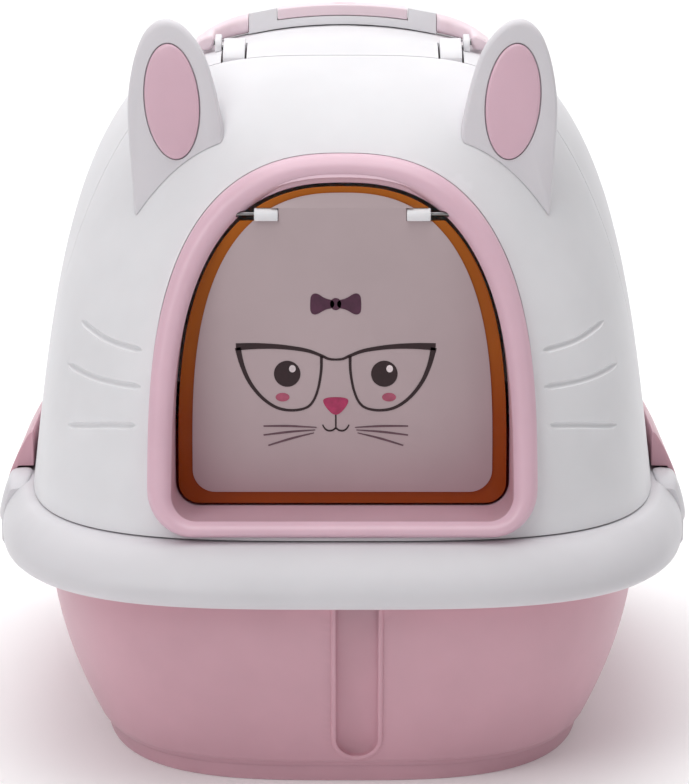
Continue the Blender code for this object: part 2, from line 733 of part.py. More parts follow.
def make_handle():
    axis = (0.0, *HANDLE_AXIS)
    turn_r = 0.0200
    for side, side_name in ((-1, "left"), (1, "right")):
        stations = [((0.0574, GRIP_Y), (0.0, 1.0), GRIP_HALF - 0.0005)]
        corner = (ARM_X - turn_r, GRIP_Y - turn_r)
        turn_steps = 6
        for i in range(turn_steps + 1):
            turn = math.radians(90 - 90 * i / turn_steps)
            out = (math.cos(turn), math.sin(turn))
            half = GRIP_HALF + (ARM_HALF - GRIP_HALF) * i / turn_steps
            stations.append(((corner[0] + turn_r * out[0], corner[1] + turn_r * out[1]), out, half))
        for y in (-0.024, HANDLE_AXIS[0], HANDLE_AXIS[0] - 0.0030):
            stations.append(((ARM_X, y), (1.0, 0.0), ARM_HALF))
        sections = []
        for centre, across, half in stations:
            section = arm_section(centre, across, half, 0.0)
            sections.append([(side * x, y, z) for x, y, z in section])
        tip = []
        for x, y, z in sections[-1]:
            tip.append((x, y - 0.0016, HANDLE_AXIS[1] + (z - HANDLE_AXIS[1]) * 0.6))
        sections.append(tip)
        arm = add_object(f"handle_arm_{side_name}", loft(sections), PARTS, PALE_PINK, 0.35)
        set_origin(arm, axis)
        centre = (side * HANDLE_PIN_X, *HANDLE_AXIS)
        bore = rod(centre, "X", HANDLE_PIN_R + GAP, HANDLE_PIN_LENGTH + 4 * GAP, PIN_SIDES)
        boolean(arm, cutter(f"arm_bore_{side_name}", bore))
        pin = rod(centre, "X", HANDLE_PIN_R, HANDLE_PIN_LENGTH, PIN_SIDES)
        set_origin(add_object(f"handle_pin_{side_name}", pin, PARTS, STEEL, 0.3, 1.0), axis)
        bracket = bpy.data.objects[f"top_bracket_{side_name}"]
        bore = rod((side * 0.0750, *HANDLE_AXIS), "X", HANDLE_PIN_R + GAP, 0.0056, PIN_SIDES)
        boolean(bracket, cutter(f"bracket_handle_bore_{side_name}", bore))

    def grip_section(x, share_low, share_high, crown):
        low, high = handle_bottom(abs(x)), handle_top(abs(x)) + crown
        section = []
        for s, t in ((-1, 0.0), (-1, 1.0), (1, 1.0), (1, 0.0)):
            z = low + (high - low) * (share_low + (share_high - share_low) * t)
            section.append((x, GRIP_Y + s * GRIP_HALF, z))
        return section

    inner, outer = BLOCK_X
    stations = []
    for side in (-1, 1):
        edges = [
            (side * outer, 1.0, 0.0006),
            (side * inner, 1.0, 0.0006),
            (side * (inner - 0.0001), COVER_FOOT, 0.0),
        ]
        if side > 0:
            edges.reverse()
        stations.append(edges)
    middle = []
    steps = 8
    for i in range(1, steps):
        middle.append((-inner + 2 * inner * i / steps, COVER_FOOT, 0.0))
    stations = stations[0] + middle + stations[1]
    sections = [grip_section(x, 0.0, share, crown) for x, share, crown in stations]
    grip = add_object("handle_grip", loft(sections), PARTS, WHITE, 0.35)
    set_origin(grip, axis)
    sections = []
    reach = inner - 0.0006
    for i in range(steps + 1):
        x = -reach + 2 * reach * i / steps
        section = grip_section(x, COVER_FOOT, 1.0, 0.0)
        lifted = []
        for px, py, pz in section:
            lifted.append((px, py, pz + (0.0004 if pz < section[1][2] - 0.001 else 0.0)))
        sections.append(lifted)
    cover = add_object("handle_cover", loft(sections), PARTS, PALE_PINK, 0.35)
    set_origin(cover, axis)


# ---------------------------------------------------------------- assembly

def main():
    clear_scene()
    collection(PARTS)
    collection(CUTTERS)
    envelope = cutter("hood_envelope", loft(hood_rings(offset=GAP, base_drop=0.01)))
    make_pan()
    make_rim()
    make_latches()
    rear = hood_shell("hood_rear", keep_front=False)
    lid = hood_shell("hood_front", keep_front=True)
    make_door_hole(lid)
    set_origin(lid, (0.0, *LID_AXIS))
    make_frame()
    make_flap()
    make_ears(envelope)
    make_lid_hinge(rear)
    make_top_brackets(envelope)
    make_handle()


main()
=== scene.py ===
"""The looks of a hooded cat litter box: shells, moulded details, printed flap, materials and light."""

import json
import math

import bmesh
import bpy
from mathutils import Matrix, Vector


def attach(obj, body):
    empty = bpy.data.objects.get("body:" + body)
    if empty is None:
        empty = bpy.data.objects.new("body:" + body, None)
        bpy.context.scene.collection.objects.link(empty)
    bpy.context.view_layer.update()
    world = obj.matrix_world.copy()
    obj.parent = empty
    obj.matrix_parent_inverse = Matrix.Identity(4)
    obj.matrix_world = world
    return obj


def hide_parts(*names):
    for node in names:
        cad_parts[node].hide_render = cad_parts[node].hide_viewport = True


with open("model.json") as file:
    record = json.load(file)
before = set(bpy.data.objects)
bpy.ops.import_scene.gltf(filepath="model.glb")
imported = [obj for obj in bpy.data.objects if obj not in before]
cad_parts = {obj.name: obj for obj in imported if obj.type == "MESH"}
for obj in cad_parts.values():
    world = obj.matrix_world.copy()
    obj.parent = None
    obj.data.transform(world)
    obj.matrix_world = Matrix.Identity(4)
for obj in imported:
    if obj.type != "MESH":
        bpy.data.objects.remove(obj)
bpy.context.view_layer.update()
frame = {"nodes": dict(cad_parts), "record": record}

RECORD = frame["record"]
BODY_OF = {node: body for body, nodes in RECORD["behaviour"]["bodies"].items() for node in nodes}
SLOT_OF = {part["node"]: part["material_slot"] for part in RECORD["subparts"]}
SIDES = ((-1, "left"), (1, "right"))

# Driving dimensions, in metres. The channel's are those of its inside, and the rest are the CAD's.
GAP = 0.0003
WALL = 0.003
AROUND = 176
SHARP_ANGLE = math.radians(35)
ROD_SIDES = 32

PAN_FOOT = (0.1455, 0.2000)
PAN_FOOT_TOP = 0.0125
PAN_BASE = (0.1510, 0.2045)
PAN_GROW = 0.0275
PAN_WALL_TOP = 0.1130
PAN_FLANGE = (0.1965, 0.2455)
PAN_FLANGE_Z = (0.1165, 0.1190)
PAN_N = 3.15
CHANNEL_X = 0.0082
CHANNEL_HALF = 0.0120
CHANNEL_DEPTH = 0.0075
CHANNEL_BOTTOM = 0.0175
CHANNEL_LIP = 0.0018
CHANNEL_WALL = 0.0030
CHANNEL_BACK = 0.0015

RIM_N = 3.35
HOOD_BASE_Z = 0.1475
HOOD_HEIGHT = 0.2680
HOOD_HALF = (0.1878, 0.2170)
HOOD_TAPER = (0.146, 0.1743)
HOOD_ROUND = (3.3867, 2.5)
DECK_TOP = 0.4135
DECK_CROWN = 1.84
DECK_SOFTNESS = 0.0022
SEAM_Y = -0.0733

FACE_Y = -0.2220
FACE_Z = 0.1500
FACE_LEAN = 0.3415
FRAME_OUT = {"half": 0.1097, "foot": 0.1495, "knee": 0.1800, "top": 0.3553, "corner": 0.026}
FRAME_IN = {"half": 0.0962, "foot": 0.1580, "knee": 0.1760, "top": 0.3411, "corner": 0.014}
PANEL = {"half": 0.0862, "foot": 0.1618, "knee": 0.1800, "top": 0.3360, "corner": 0.013}
FRAME_CROWN = 0.0052
TUNNEL_FOOT = 0.1530
TUNNEL_BACK_Y = -0.1555
FLAP_AXIS = (-0.1585, 0.3235)
FLAP_THICK = 0.003
FLAP_CLEAR = 0.0018
PANEL_THICK = 0.0012
TAB_X = (0.0365, 0.0500)
TAB_HALF_HEIGHT = 0.0034
TAB_BORE_R = 0.0014
FLAP_SOCKET_X = 0.0600
FLAP_SOCKET_R = 0.0019
FLAP_SOCKET_LENGTH = 0.0110
TAB_PROFILE = (
    (0.0015, -0.0034), (0.0015, 0.0029), (0.0006, 0.0034), (-0.0012, 0.0033),
    (-0.0030, 0.0024), (-0.0044, 0.0008), (-0.0050, -0.0010), (-0.0050, -0.0034),
)

LID_AXIS = (-0.0470, 0.4055)
HANDLE_AXIS = (-0.0410, 0.4080)
LATCH_AXIS = (0.2048, 0.1260)
LEVER_HALF = 0.0500
LEVER_BARREL_R = 0.0033
LEVER_EYE_LENGTH = 0.1200
LATCH_BORE_LENGTH = 0.1162

EAR_FACE_Y = -0.1265
EAR_LEAN = 0.10
EAR_TURN = 0.10
EAR_FOOT_Z = 0.3250
EAR_MIDDLE = (0.0985, 0.3730)
INSERT_CENTRE = (0.0980, 0.3826)
INSERT_HALF = (0.0163, 0.0335)
INSERT_TILT = math.radians(5.0)

GRIP_Y = 0.0100
GRIP_HALF = 0.0090
ARM_X = 0.0825
ARM_HALF = 0.0058
BLOCK_X = (0.0400, 0.0570)
KNUCKLE_X = (0.0576, 0.0704)
NOTCH_X = (0.0564, 0.0716)
KNUCKLE_MIDDLE = 0.0640
KNUCKLE_R = 0.0055
BRACKET_X = (0.0719, 0.0757)
BRACKET_R = 0.0058
LID_PIN_X = 0.0671
LID_BORE_R = 0.0017
LID_BORE_LENGTH = 0.0200
HANDLE_BORE_R = 0.0019


# ---------------------------------------------------------------- materials

def node(tree, kind, **values):
    made = tree.nodes.new(kind)
    for key, value in values.items():
        setattr(made, key, value)
    return made


def noise(tree, scale, detail=3.0, roughness=0.5):
    """Noise in the object's own coordinates."""
    place = node(tree, "ShaderNodeTexCoord")
    made = node(tree, "ShaderNodeTexNoise")
    made.inputs["Scale"].default_value = scale
    made.inputs["Detail"].default_value = detail
    made.inputs["Roughness"].default_value = roughness
    tree.links.new(place.outputs["Object"], made.inputs["Vector"])
    return made.outputs["Fac"]


def ramp(tree, source, low, high, from_low=0.0, from_high=1.0):
    """A number remapped from one range to another."""
    made = node(tree, "ShaderNodeMapRange")
    made.inputs["From Min"].default_value = from_low
    made.inputs["From Max"].default_value = from_high
    made.inputs["To Min"].default_value = low
    made.inputs["To Max"].default_value = high
    tree.links.new(source, made.inputs["Value"])
    return made.outputs["Result"]


def mix(tree, share, first, second):
    """Colours mixed by a share; each is a colour or a socket."""
    made = node(tree, "ShaderNodeMix", data_type="RGBA")
    tree.links.new(share, made.inputs["Factor"])
    for value, socket in ((first, "A"), (second, "B")):
        slot = [s for s in made.inputs if s.name == socket and s.type == "RGBA"][0]
        if isinstance(value, tuple):
            slot.default_value = (*value, 1.0)
        else:
            tree.links.new(value, slot)
    return [s for s in made.outputs if s.type == "RGBA"][0]


def shade(colour, by):
    return tuple(min(1.0, max(0.0, part * by)) for part in colour)


# How far edges are painted paler and hollows painted darker; the darker hollows are painted shade.
PALE_EDGE_AND_HOLLOW_SHADE = 0.22


def plastic(name, colour, rough, mottle=0.035, grain=0.05, glow=0.08, coat=0.0):
    """Moulded plastic: slight mottling, fine grain, paler edges and painted shade that darkens the
    hollows.
    """
    made = bpy.data.materials.new(name)
    made.use_nodes = True
    tree = made.node_tree
    shader = tree.nodes["Principled BSDF"]
    base = mix(
        tree, ramp(tree, noise(tree, 9.0, 4.0, 0.6), 0.0, 1.0, 0.35, 0.65),
        shade(colour, 1 - mottle), shade(colour, 1 + mottle),
    )
    geometry = node(tree, "ShaderNodeNewGeometry")
    # Convex edges are painted paler, and hollows are painted darker as shade.
    edge = ramp(tree, geometry.outputs["Pointiness"], 0.0, PALE_EDGE_AND_HOLLOW_SHADE, 0.515, 0.56)
    base = mix(tree, edge, base, shade(colour, 1.18))
    hollow_shade = ramp(tree, geometry.outputs["Pointiness"], PALE_EDGE_AND_HOLLOW_SHADE, 0.0, 0.44, 0.485)
    base = mix(tree, hollow_shade, base, shade(colour, 0.72))
    tree.links.new(base, shader.inputs["Base Color"])
    gloss = ramp(tree, noise(tree, 26.0, 3.0), rough - 0.05, rough + 0.06)
    tree.links.new(gloss, shader.inputs["Roughness"])
    bump = node(tree, "ShaderNodeBump")
    bump.inputs["Strength"].default_value = grain
    bump.inputs["Distance"].default_value = 0.0004
    tree.links.new(noise(tree, 1400.0, 2.0), bump.inputs["Height"])
    waves = node(tree, "ShaderNodeBump")
    waves.inputs["Strength"].default_value = 0.06
    waves.inputs["Distance"].default_value = 0.004
    tree.links.new(noise(tree, 18.0, 1.0), waves.inputs["Height"])
    tree.links.new(bump.outputs["Normal"], waves.inputs["Normal"])
    tree.links.new(waves.outputs["Normal"], shader.inputs["Normal"])
    shader.inputs["Subsurface Weight"].default_value = glow
    shader.inputs["Subsurface Radius"].default_value = (1.0, 0.75, 0.7)
    shader.inputs["Subsurface Scale"].default_value = 0.006
    shader.inputs["Coat Weight"].default_value = coat
    shader.inputs["Coat Roughness"].default_value = 0.25
    return made


def tinted(name, upper, lower, low_z, high_z):
    """Tinted plastic that lets little light through, with painted light: a paler colour above and a deeper
    one below.
    """
    made = bpy.data.materials.new(name)
    made.use_nodes = True
    tree = made.node_tree
    shader = tree.nodes["Principled BSDF"]
    place = node(tree, "ShaderNodeTexCoord")
    split = node(tree, "ShaderNodeSeparateXYZ")
    tree.links.new(place.outputs["Object"], split.inputs["Vector"])
    # Painted light: the colour runs from deeper below to paler above, standing in for the lit hood behind
    # the tint.
    height = ramp(tree, split.outputs["Z"], 0.0, 1.0, low_z, high_z)
    depth = mix(tree, height, lower, upper)
    cloud = ramp(tree, noise(tree, 22.0, 3.0), 0.0, 0.18)
    tree.links.new(mix(tree, cloud, depth, shade(lower, 0.6)), shader.inputs["Base Color"])
    tree.links.new(ramp(tree, noise(tree, 40.0, 2.0), 0.07, 0.16), shader.inputs["Roughness"])
    ripple = node(tree, "ShaderNodeBump")
    ripple.inputs["Strength"].default_value = 0.05
    ripple.inputs["Distance"].default_value = 0.002
    tree.links.new(noise(tree, 35.0, 1.0), ripple.inputs["Height"])
    tree.links.new(ripple.outputs["Normal"], shader.inputs["Normal"])
    shader.inputs["IOR"].default_value = 1.49
    shader.inputs["Transmission Weight"].default_value = 0.10
    shader.inputs["Specular IOR Level"].default_value = 0.25
    return made


INK_ROUGHNESS = 0.45


def printed(name, colour):
    """Screen-printed ink: slightly uneven in colour and gloss."""
    made = bpy.data.materials.new(name)
    made.use_nodes = True
    tree = made.node_tree
    shader = tree.nodes["Principled BSDF"]
    uneven = ramp(tree, noise(tree, 300.0, 3.0), 0.0, 1.0, 0.3, 0.7)
    colours = mix(tree, uneven, shade(colour, 0.85), shade(colour, 1.2))
    tree.links.new(colours, shader.inputs["Base Color"])
    gloss = ramp(tree, noise(tree, 500.0), INK_ROUGHNESS - 0.08, INK_ROUGHNESS + 0.08)
    tree.links.new(gloss, shader.inputs["Roughness"])
    return made


def steel(name):
    """Dark steel wire with uneven tarnish and gloss."""
    made = bpy.data.materials.new(name)
    made.use_nodes = True
    tree = made.node_tree
    shader = tree.nodes["Principled BSDF"]
    shader.inputs["Metallic"].default_value = 1.0
    tarnish = ramp(tree, noise(tree, 220.0, 4.0), 0.0, 1.0, 0.35, 0.7)
    colours = mix(tree, tarnish, (0.30, 0.30, 0.31), (0.19, 0.18, 0.175))
    tree.links.new(colours, shader.inputs["Base Color"])
    tree.links.new(ramp(tree, noise(tree, 900.0), 0.22, 0.42), shader.inputs["Roughness"])
    return made


MATERIALS = {
    "white_shell": plastic("white_shell", (0.80, 0.785, 0.81), 0.42),
    # A darker copy of the hood's white for the ring: painted shade on the same white plastic.
    "rim_white_painted_shade": plastic("rim_white_painted_shade", (0.70, 0.68, 0.71), 0.42),
    # A darker copy of the hood's white for the ears: painted shade on the same white plastic.
    "ear_white": plastic("ear_white", (0.73, 0.70, 0.735), 0.45),
    "pink_shell": plastic("pink_shell", (0.65, 0.375, 0.44), 0.38, mottle=0.05, glow=0.12),
    "frame_pink": plastic("frame_pink", (0.76, 0.50, 0.59), 0.34, mottle=0.04, glow=0.12, coat=0.15),
    "pale_pink": plastic("pale_pink", (0.86, 0.69, 0.75), 0.36, mottle=0.04, glow=0.12),
    "frosted_panel": plastic(
        "frosted_panel", (0.49, 0.385, 0.40), 0.36, mottle=0.05, grain=0.02, glow=0.0, coat=0.1
    ),
    # The amber's two colours are painted light, paler above and deeper below.
    "amber_tint": tinted("amber_tint", (0.47, 0.130, 0.014), (0.38, 0.072, 0.006), 0.205, 0.245),
    "steel_pin": steel("steel_pin"),
}


# ---------------------------------------------------------------- mesh helpers

def new_object(name, bm):
    bmesh.ops.recalc_face_normals(bm, faces=bm.faces)
    mesh = bpy.data.meshes.new(name)
    bm.to_mesh(mesh)
    bm.free()
    made = bpy.data.objects.new(name, mesh)
    bpy.context.scene.collection.objects.link(made)
    mesh.shade_smooth()
    mesh.set_sharp_from_angle(angle=SHARP_ANGLE)
    return made


def apply_modifiers(item):
    """Turns the object's modifiers into its own mesh."""
    graph = bpy.context.evaluated_depsgraph_get()
    done = bpy.data.meshes.new_from_object(item.evaluated_get(graph))
    item.modifiers.clear()
    item.data = done
    done.shade_smooth()
    done.set_sharp_from_angle(angle=SHARP_ANGLE)
    return item


def helper(bm):
    """A shape that only joins or cuts others."""
    return new_object("helper", bm)


def boolean(target, tools, operation="DIFFERENCE"):
    """Joins or cuts with each helper in turn, then removes the helpers."""
    for tool in tools:
        step = target.modifiers.new("step", "BOOLEAN")
        step.operation = operation
        step.object = tool
        step.solver = "EXACT"
    apply_modifiers(target)
    for tool in tools:
        bpy.data.objects.remove(tool)
    return target


def bevel(item, width, segments=3, angle=35):
    step = item.modifiers.new("bevel", "BEVEL")
    step.width = width
    step.segments = segments
    step.limit_method = "ANGLE"
    step.angle_limit = math.radians(angle)
    return apply_modifiers(item)


def place(item, cad_node):
    """Gives the piece the CAD node's body and its slot's material, and hides that node in its place."""
    slot = SLOT_OF[cad_node]
    if not item.data.materials:
        item.data.materials.append(MATERIALS[slot])
    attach(item, BODY_OF[cad_node])
    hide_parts(cad_node)


def loft(rings, closed=False):
    """A surface through rings of equally many points; open ends are capped."""
    bm = bmesh.new()
    rows = [[bm.verts.new(p) for p in ring] for ring in rings]
    pairs = list(zip(rows, rows[1:]))
    if closed:
        pairs.append((rows[-1], rows[0]))
    for low, high in pairs:
        for i in range(len(low)):
            j = (i + 1) % len(low)
            bm.faces.new((low[i], low[j], high[j], high[i]))
    if not closed:
        bm.faces.new(list(reversed(rows[0])))
        bm.faces.new(rows[-1])
    return bm


def oval(half_x, half_y, power, z, count=AROUND):
    """Points of a superellipse, anticlockwise seen from above."""
    points = []
    for i in range(count):
        turn = 2 * math.pi * (i + 0.5) / count
        c, s = math.cos(turn), math.sin(turn)
        x = half_x * math.copysign(abs(c) ** (2 / power), c)
        y = half_y * math.copysign(abs(s) ** (2 / power), s)
        points.append((x, y, z))
    return points


def box(low, high):
    bm = bmesh.new()
    bmesh.ops.create_cube(bm, size=1.0)
    bmesh.ops.scale(bm, vec=Vector(high) - Vector(low), verts=bm.verts)
    bmesh.ops.translate(bm, vec=(Vector(high) + Vector(low)) / 2, verts=bm.verts)
    return bm


def rod(centre, axis, radius, length):
    """A cylinder centred on a point, along the X or Y axis."""
    bm = bmesh.new()
    bmesh.ops.create_cone(
        bm, cap_ends=True, segments=ROD_SIDES, radius1=radius, radius2=radius, depth=length
    )
    turn = Matrix.Rotation(math.radians(90), 3, "Y" if axis == "X" else "X")
    bmesh.ops.rotate(bm, matrix=turn, verts=bm.verts)
    bmesh.ops.translate(bm, vec=centre, verts=bm.verts)
    return bm


def bar(profile, low, high, axis="X"):
    """An outline of (y, z) points pushed along X, or of (x, z) points pushed along Y."""
    if axis == "X":
        return loft([[(level, a, b) for a, b in profile] for level in (low, high)])
    return loft([[(a, level, b) for a, b in profile] for level in (low, high)])


def rounded(points, rounds):
    """Corner cutting: each corner is replaced by two points a quarter of the way along its edges."""
    for _ in range(rounds):
        cut = []
        count = len(points)
        for i in range(count):
            a, b = points[i], points[(i + 1) % count]
            cut.append(tuple(p * 0.75 + q * 0.25 for p, q in zip(a, b)))
            cut.append(tuple(p * 0.25 + q * 0.75 for p, q in zip(a, b)))
        points = cut
    return points


def curve_through(points, steps=10):
    """A smooth line through points, as a Catmull-Rom spline."""
    line = []
    ends = [points[0], *points, points[-1]]
    for a, b, c, d in zip(ends, ends[1:], ends[2:], ends[3:]):
        for i in range(steps):
            t = i / steps
            point = []
            for p, q, r, s in zip(a, b, c, d):
                square = (2 * p - 5 * q + 4 * r - s) * t * t
                cube = (3 * q - p - 3 * r + s) * t ** 3
                point.append(0.5 * (2 * q + (r - p) * t + square + cube))
            line.append(tuple(point))
    line.append(tuple(points[-1]))
    return line


def tube(path, radii, sides=12):
    """A round bar along a path of points, with its own radius at each point."""
    rings = []
    for i, (point, radius) in enumerate(zip(path, radii)):
        before = Vector(path[max(0, i - 1)])
        after = Vector(path[min(len(path) - 1, i + 1)])
        along = (after - before).normalized()
        side = along.cross(Vector((0.0, 1.0, 0.0))).normalized()
        up = side.cross(along)
        ring = []
        for k in range(sides):
            turn = 2 * math.pi * k / sides
            ring.append(Vector(point) + (side * math.cos(turn) + up * math.sin(turn)) * radius)
        rings.append(ring)
    return loft(rings)


# ---------------------------------------------------------------- hood

def hood_section(w):
    """Half width, half depth, superellipse power and height of the hood at a share w of its height."""
    round_x, round_y = HOOD_ROUND
    half_x = HOOD_HALF[0] * (1 - HOOD_TAPER[0] * w) * (1 - w ** round_x) ** (1 / round_x)
    half_y = HOOD_HALF[1] * (1 - HOOD_TAPER[1] * w) * (1 - w ** round_y) ** (1 / round_y)
    power = 3.39 - 1.75 * w + 2.2 * w ** 6
    return half_x, half_y, power, HOOD_BASE_Z + HOOD_HEIGHT * w


def soft_min(a, b, softness):
    """The lesser of two heights, rounded where they meet."""
    overlap = max(softness - abs(a - b), 0.0) / softness
    return min(a, b) - overlap * overlap * softness / 4


def hood_rings(offset=0.0, base_drop=0.0, steps=64):
    """Oval sections of the hood from its base to its top, grown outwards by an offset."""
    rings = []
    if base_drop:
        half_x, half_y, power, _ = hood_section(0.0)
        rings.append(oval(half_x + offset, half_y + offset, power, HOOD_BASE_Z - base_drop))
    for i in range(steps + 1):
        phi = math.pi / 2 * i / steps * 0.9985
        w = math.sin(phi) ** 0.77
        half_x, half_y, power, z = hood_section(w)
        ring = []
        for x, y, _ in oval(half_x + offset, half_y + offset, power, z):
            deck = DECK_TOP - DECK_CROWN * x * x
            ring.append((x, y, soft_min(z, deck, DECK_SOFTNESS) + offset))
        rings.append(ring)
    return rings


def hood_front_y(x, z):
    """The depth of the hood's front surface at a place seen from in front."""
    half_x, half_y, power, _ = hood_section((z - HOOD_BASE_Z) / HOOD_HEIGHT)
    return -half_y * (1 - min(0.999, abs(x) / half_x) ** power) ** (1 / power)


def half_shell(name, keep_front):
    """The hood's shell in front of the seam, or the one behind it."""
    rings = hood_rings()
    bm = bmesh.new()
    rows = [[bm.verts.new(p) for p in ring] for ring in rings]
    for low, high in zip(rows, rows[1:]):
        for i in range(AROUND):
            j = (i + 1) % AROUND
            bm.faces.new((low[i], low[j], high[j], high[i]))
    bm.faces.new(rows[-1])
    sign = 1 if keep_front else -1
    cut = SEAM_Y - sign * GAP
    everything = bm.verts[:] + bm.edges[:] + bm.faces[:]
    bmesh.ops.bisect_plane(
        bm, geom=everything, plane_co=(0, cut, 0), plane_no=(0, sign, 0), clear_outer=True
    )
    shell = new_object(name, bm)
    thick = shell.modifiers.new("wall", "SOLIDIFY")
    thick.thickness = WALL
    thick.offset = -1.0
    thick.use_even_offset = True
    return apply_modifiers(shell)


WHISKERS = (
    # three grooves beside the door, as x and z of the ends and the middle
    ((0.1520, 0.2555), (0.1350, 0.2500), (0.1137, 0.2475)),
    ((0.1600, 0.2303), (0.1400, 0.2283), (0.1139, 0.2281)),
    ((0.1590, 0.1985), (0.1380, 0.2040), (0.1170, 0.2072)),
)
GROOVE_RADIUS = 0.0024
GROOVE_LIFT = 0.0011


def whisker_cutters():
    """Round bars that cut the whisker grooves into the hood."""
    cutters = []
    for side, _ in SIDES:
        for points in WHISKERS:
            line = curve_through(points, 9)
            path, radii = [], []
            for k, (x, z) in enumerate(line):
                share = k / (len(line) - 1)
                y = hood_front_y(x, z)
                path.append((side * (x + GROOVE_LIFT * 0.6), y - GROOVE_LIFT * 0.7, z))
                radii.append(GROOVE_RADIUS * min(1.0, 0.45 + 5 * min(share, 1 - share)))
            cutters.append(helper(tube(path, radii)))
    return cutters


# ---------------------------------------------------------------- door shapes

CORNER_STEPS = 10
HEAD_STEPS = 56


def arch(half, foot, knee, top, corner):
    """The door's outline in X and Z: rounded foot corners, upright sides and a full round head."""
    points = []
    for i in range(CORNER_STEPS + 1):
        turn = math.radians(-90 + 90 * i / CORNER_STEPS)
        x = half - corner + corner * math.cos(turn)
        points.append((x, foot + corner + corner * math.sin(turn)))
    for i in range(HEAD_STEPS):
        turn = math.pi / 2 * i / HEAD_STEPS
        x = half * math.cos(turn) ** (2 / 2.5)
        z = knee + (top - knee) * math.sin(turn) ** (2 / 2.8)
        points.append((x, z))
    left = [(-x, z) for x, z in reversed(points)]
    return points + [(0.0, top)] + left


def grown(shape, by):
    """The arch's sizes moved outwards all round by a distance."""
    return {
        "half": shape["half"] + by,
        "foot": shape["foot"] - by,
        "knee": shape["knee"],
        "top": shape["top"] + by,
        "corner": max(0.001, shape["corner"] + by),
    }


def between(inner, outer, share):
    return [
        (a[0] + (b[0] - a[0]) * share, a[1] + (b[1] - a[1]) * share) for a, b in zip(inner, outer)
    ]


def face_y(z):
    return FACE_Y + FACE_LEAN * (z - FACE_Z)


def at_depth(outline, y):
    return [(x, y, z) for x, z in outline]


def on_face(outline, back):
    return [(x, face_y(z) + back, z) for x, z in outline]


# ---------------------------------------------------------------- pieces of the base

def pan_wall(z):
    """Half width and half depth of the pan's outer wall at a height."""
    u = (z - PAN_FOOT_TOP) / (PAN_WALL_TOP - PAN_FOOT_TOP)
    grow = PAN_GROW * (1 - (1 - u) ** 1.8)
    return PAN_BASE[0] + grow, PAN_BASE[1] + grow


def channel_section(z, half, depth, start, reach):
    """A U-shaped section of the channel, following the pan's front wall."""
    front = -pan_wall(min(max(z, PAN_FOOT_TOP + 0.001), PAN_WALL_TOP))[1]
    outline = []
    for i in range(17):
        turn = math.pi * i / 16
        outline.append((half * math.cos(turn), start + depth * math.sin(turn) ** 0.6))
    outline += [(-half, -reach), (half, -reach)]
    return [(CHANNEL_X + x, front + y, z) for x, y in outline]


def channel_bar(half, depth, bottom, top, start, reach):
    """The channel's bar with its half-round lower end."""
    rings = []
    for i in range(1, 9):
        turn = math.pi / 2 * i / 8
        z = bottom + half * (1 - math.cos(turn))
        end_depth = depth * math.sin(turn) ** 0.7
        rings.append(channel_section(z, half * math.sin(turn), end_depth, start, reach))
    steps = 16
    for i in range(1, steps + 1):
        z = bottom + half + (top - bottom - half) * i / steps
        rings.append(channel_section(z, half, depth, start, reach))
    return loft(rings)


PAN_INSIDE_FOOT = (
    # inset from the wall and height where the inside rounds into the floor
    (0.0042, 0.0130), (0.0065, 0.0095), (0.0100, 0.0072), (0.0150, 0.0060), (0.0240, 0.0054),
)


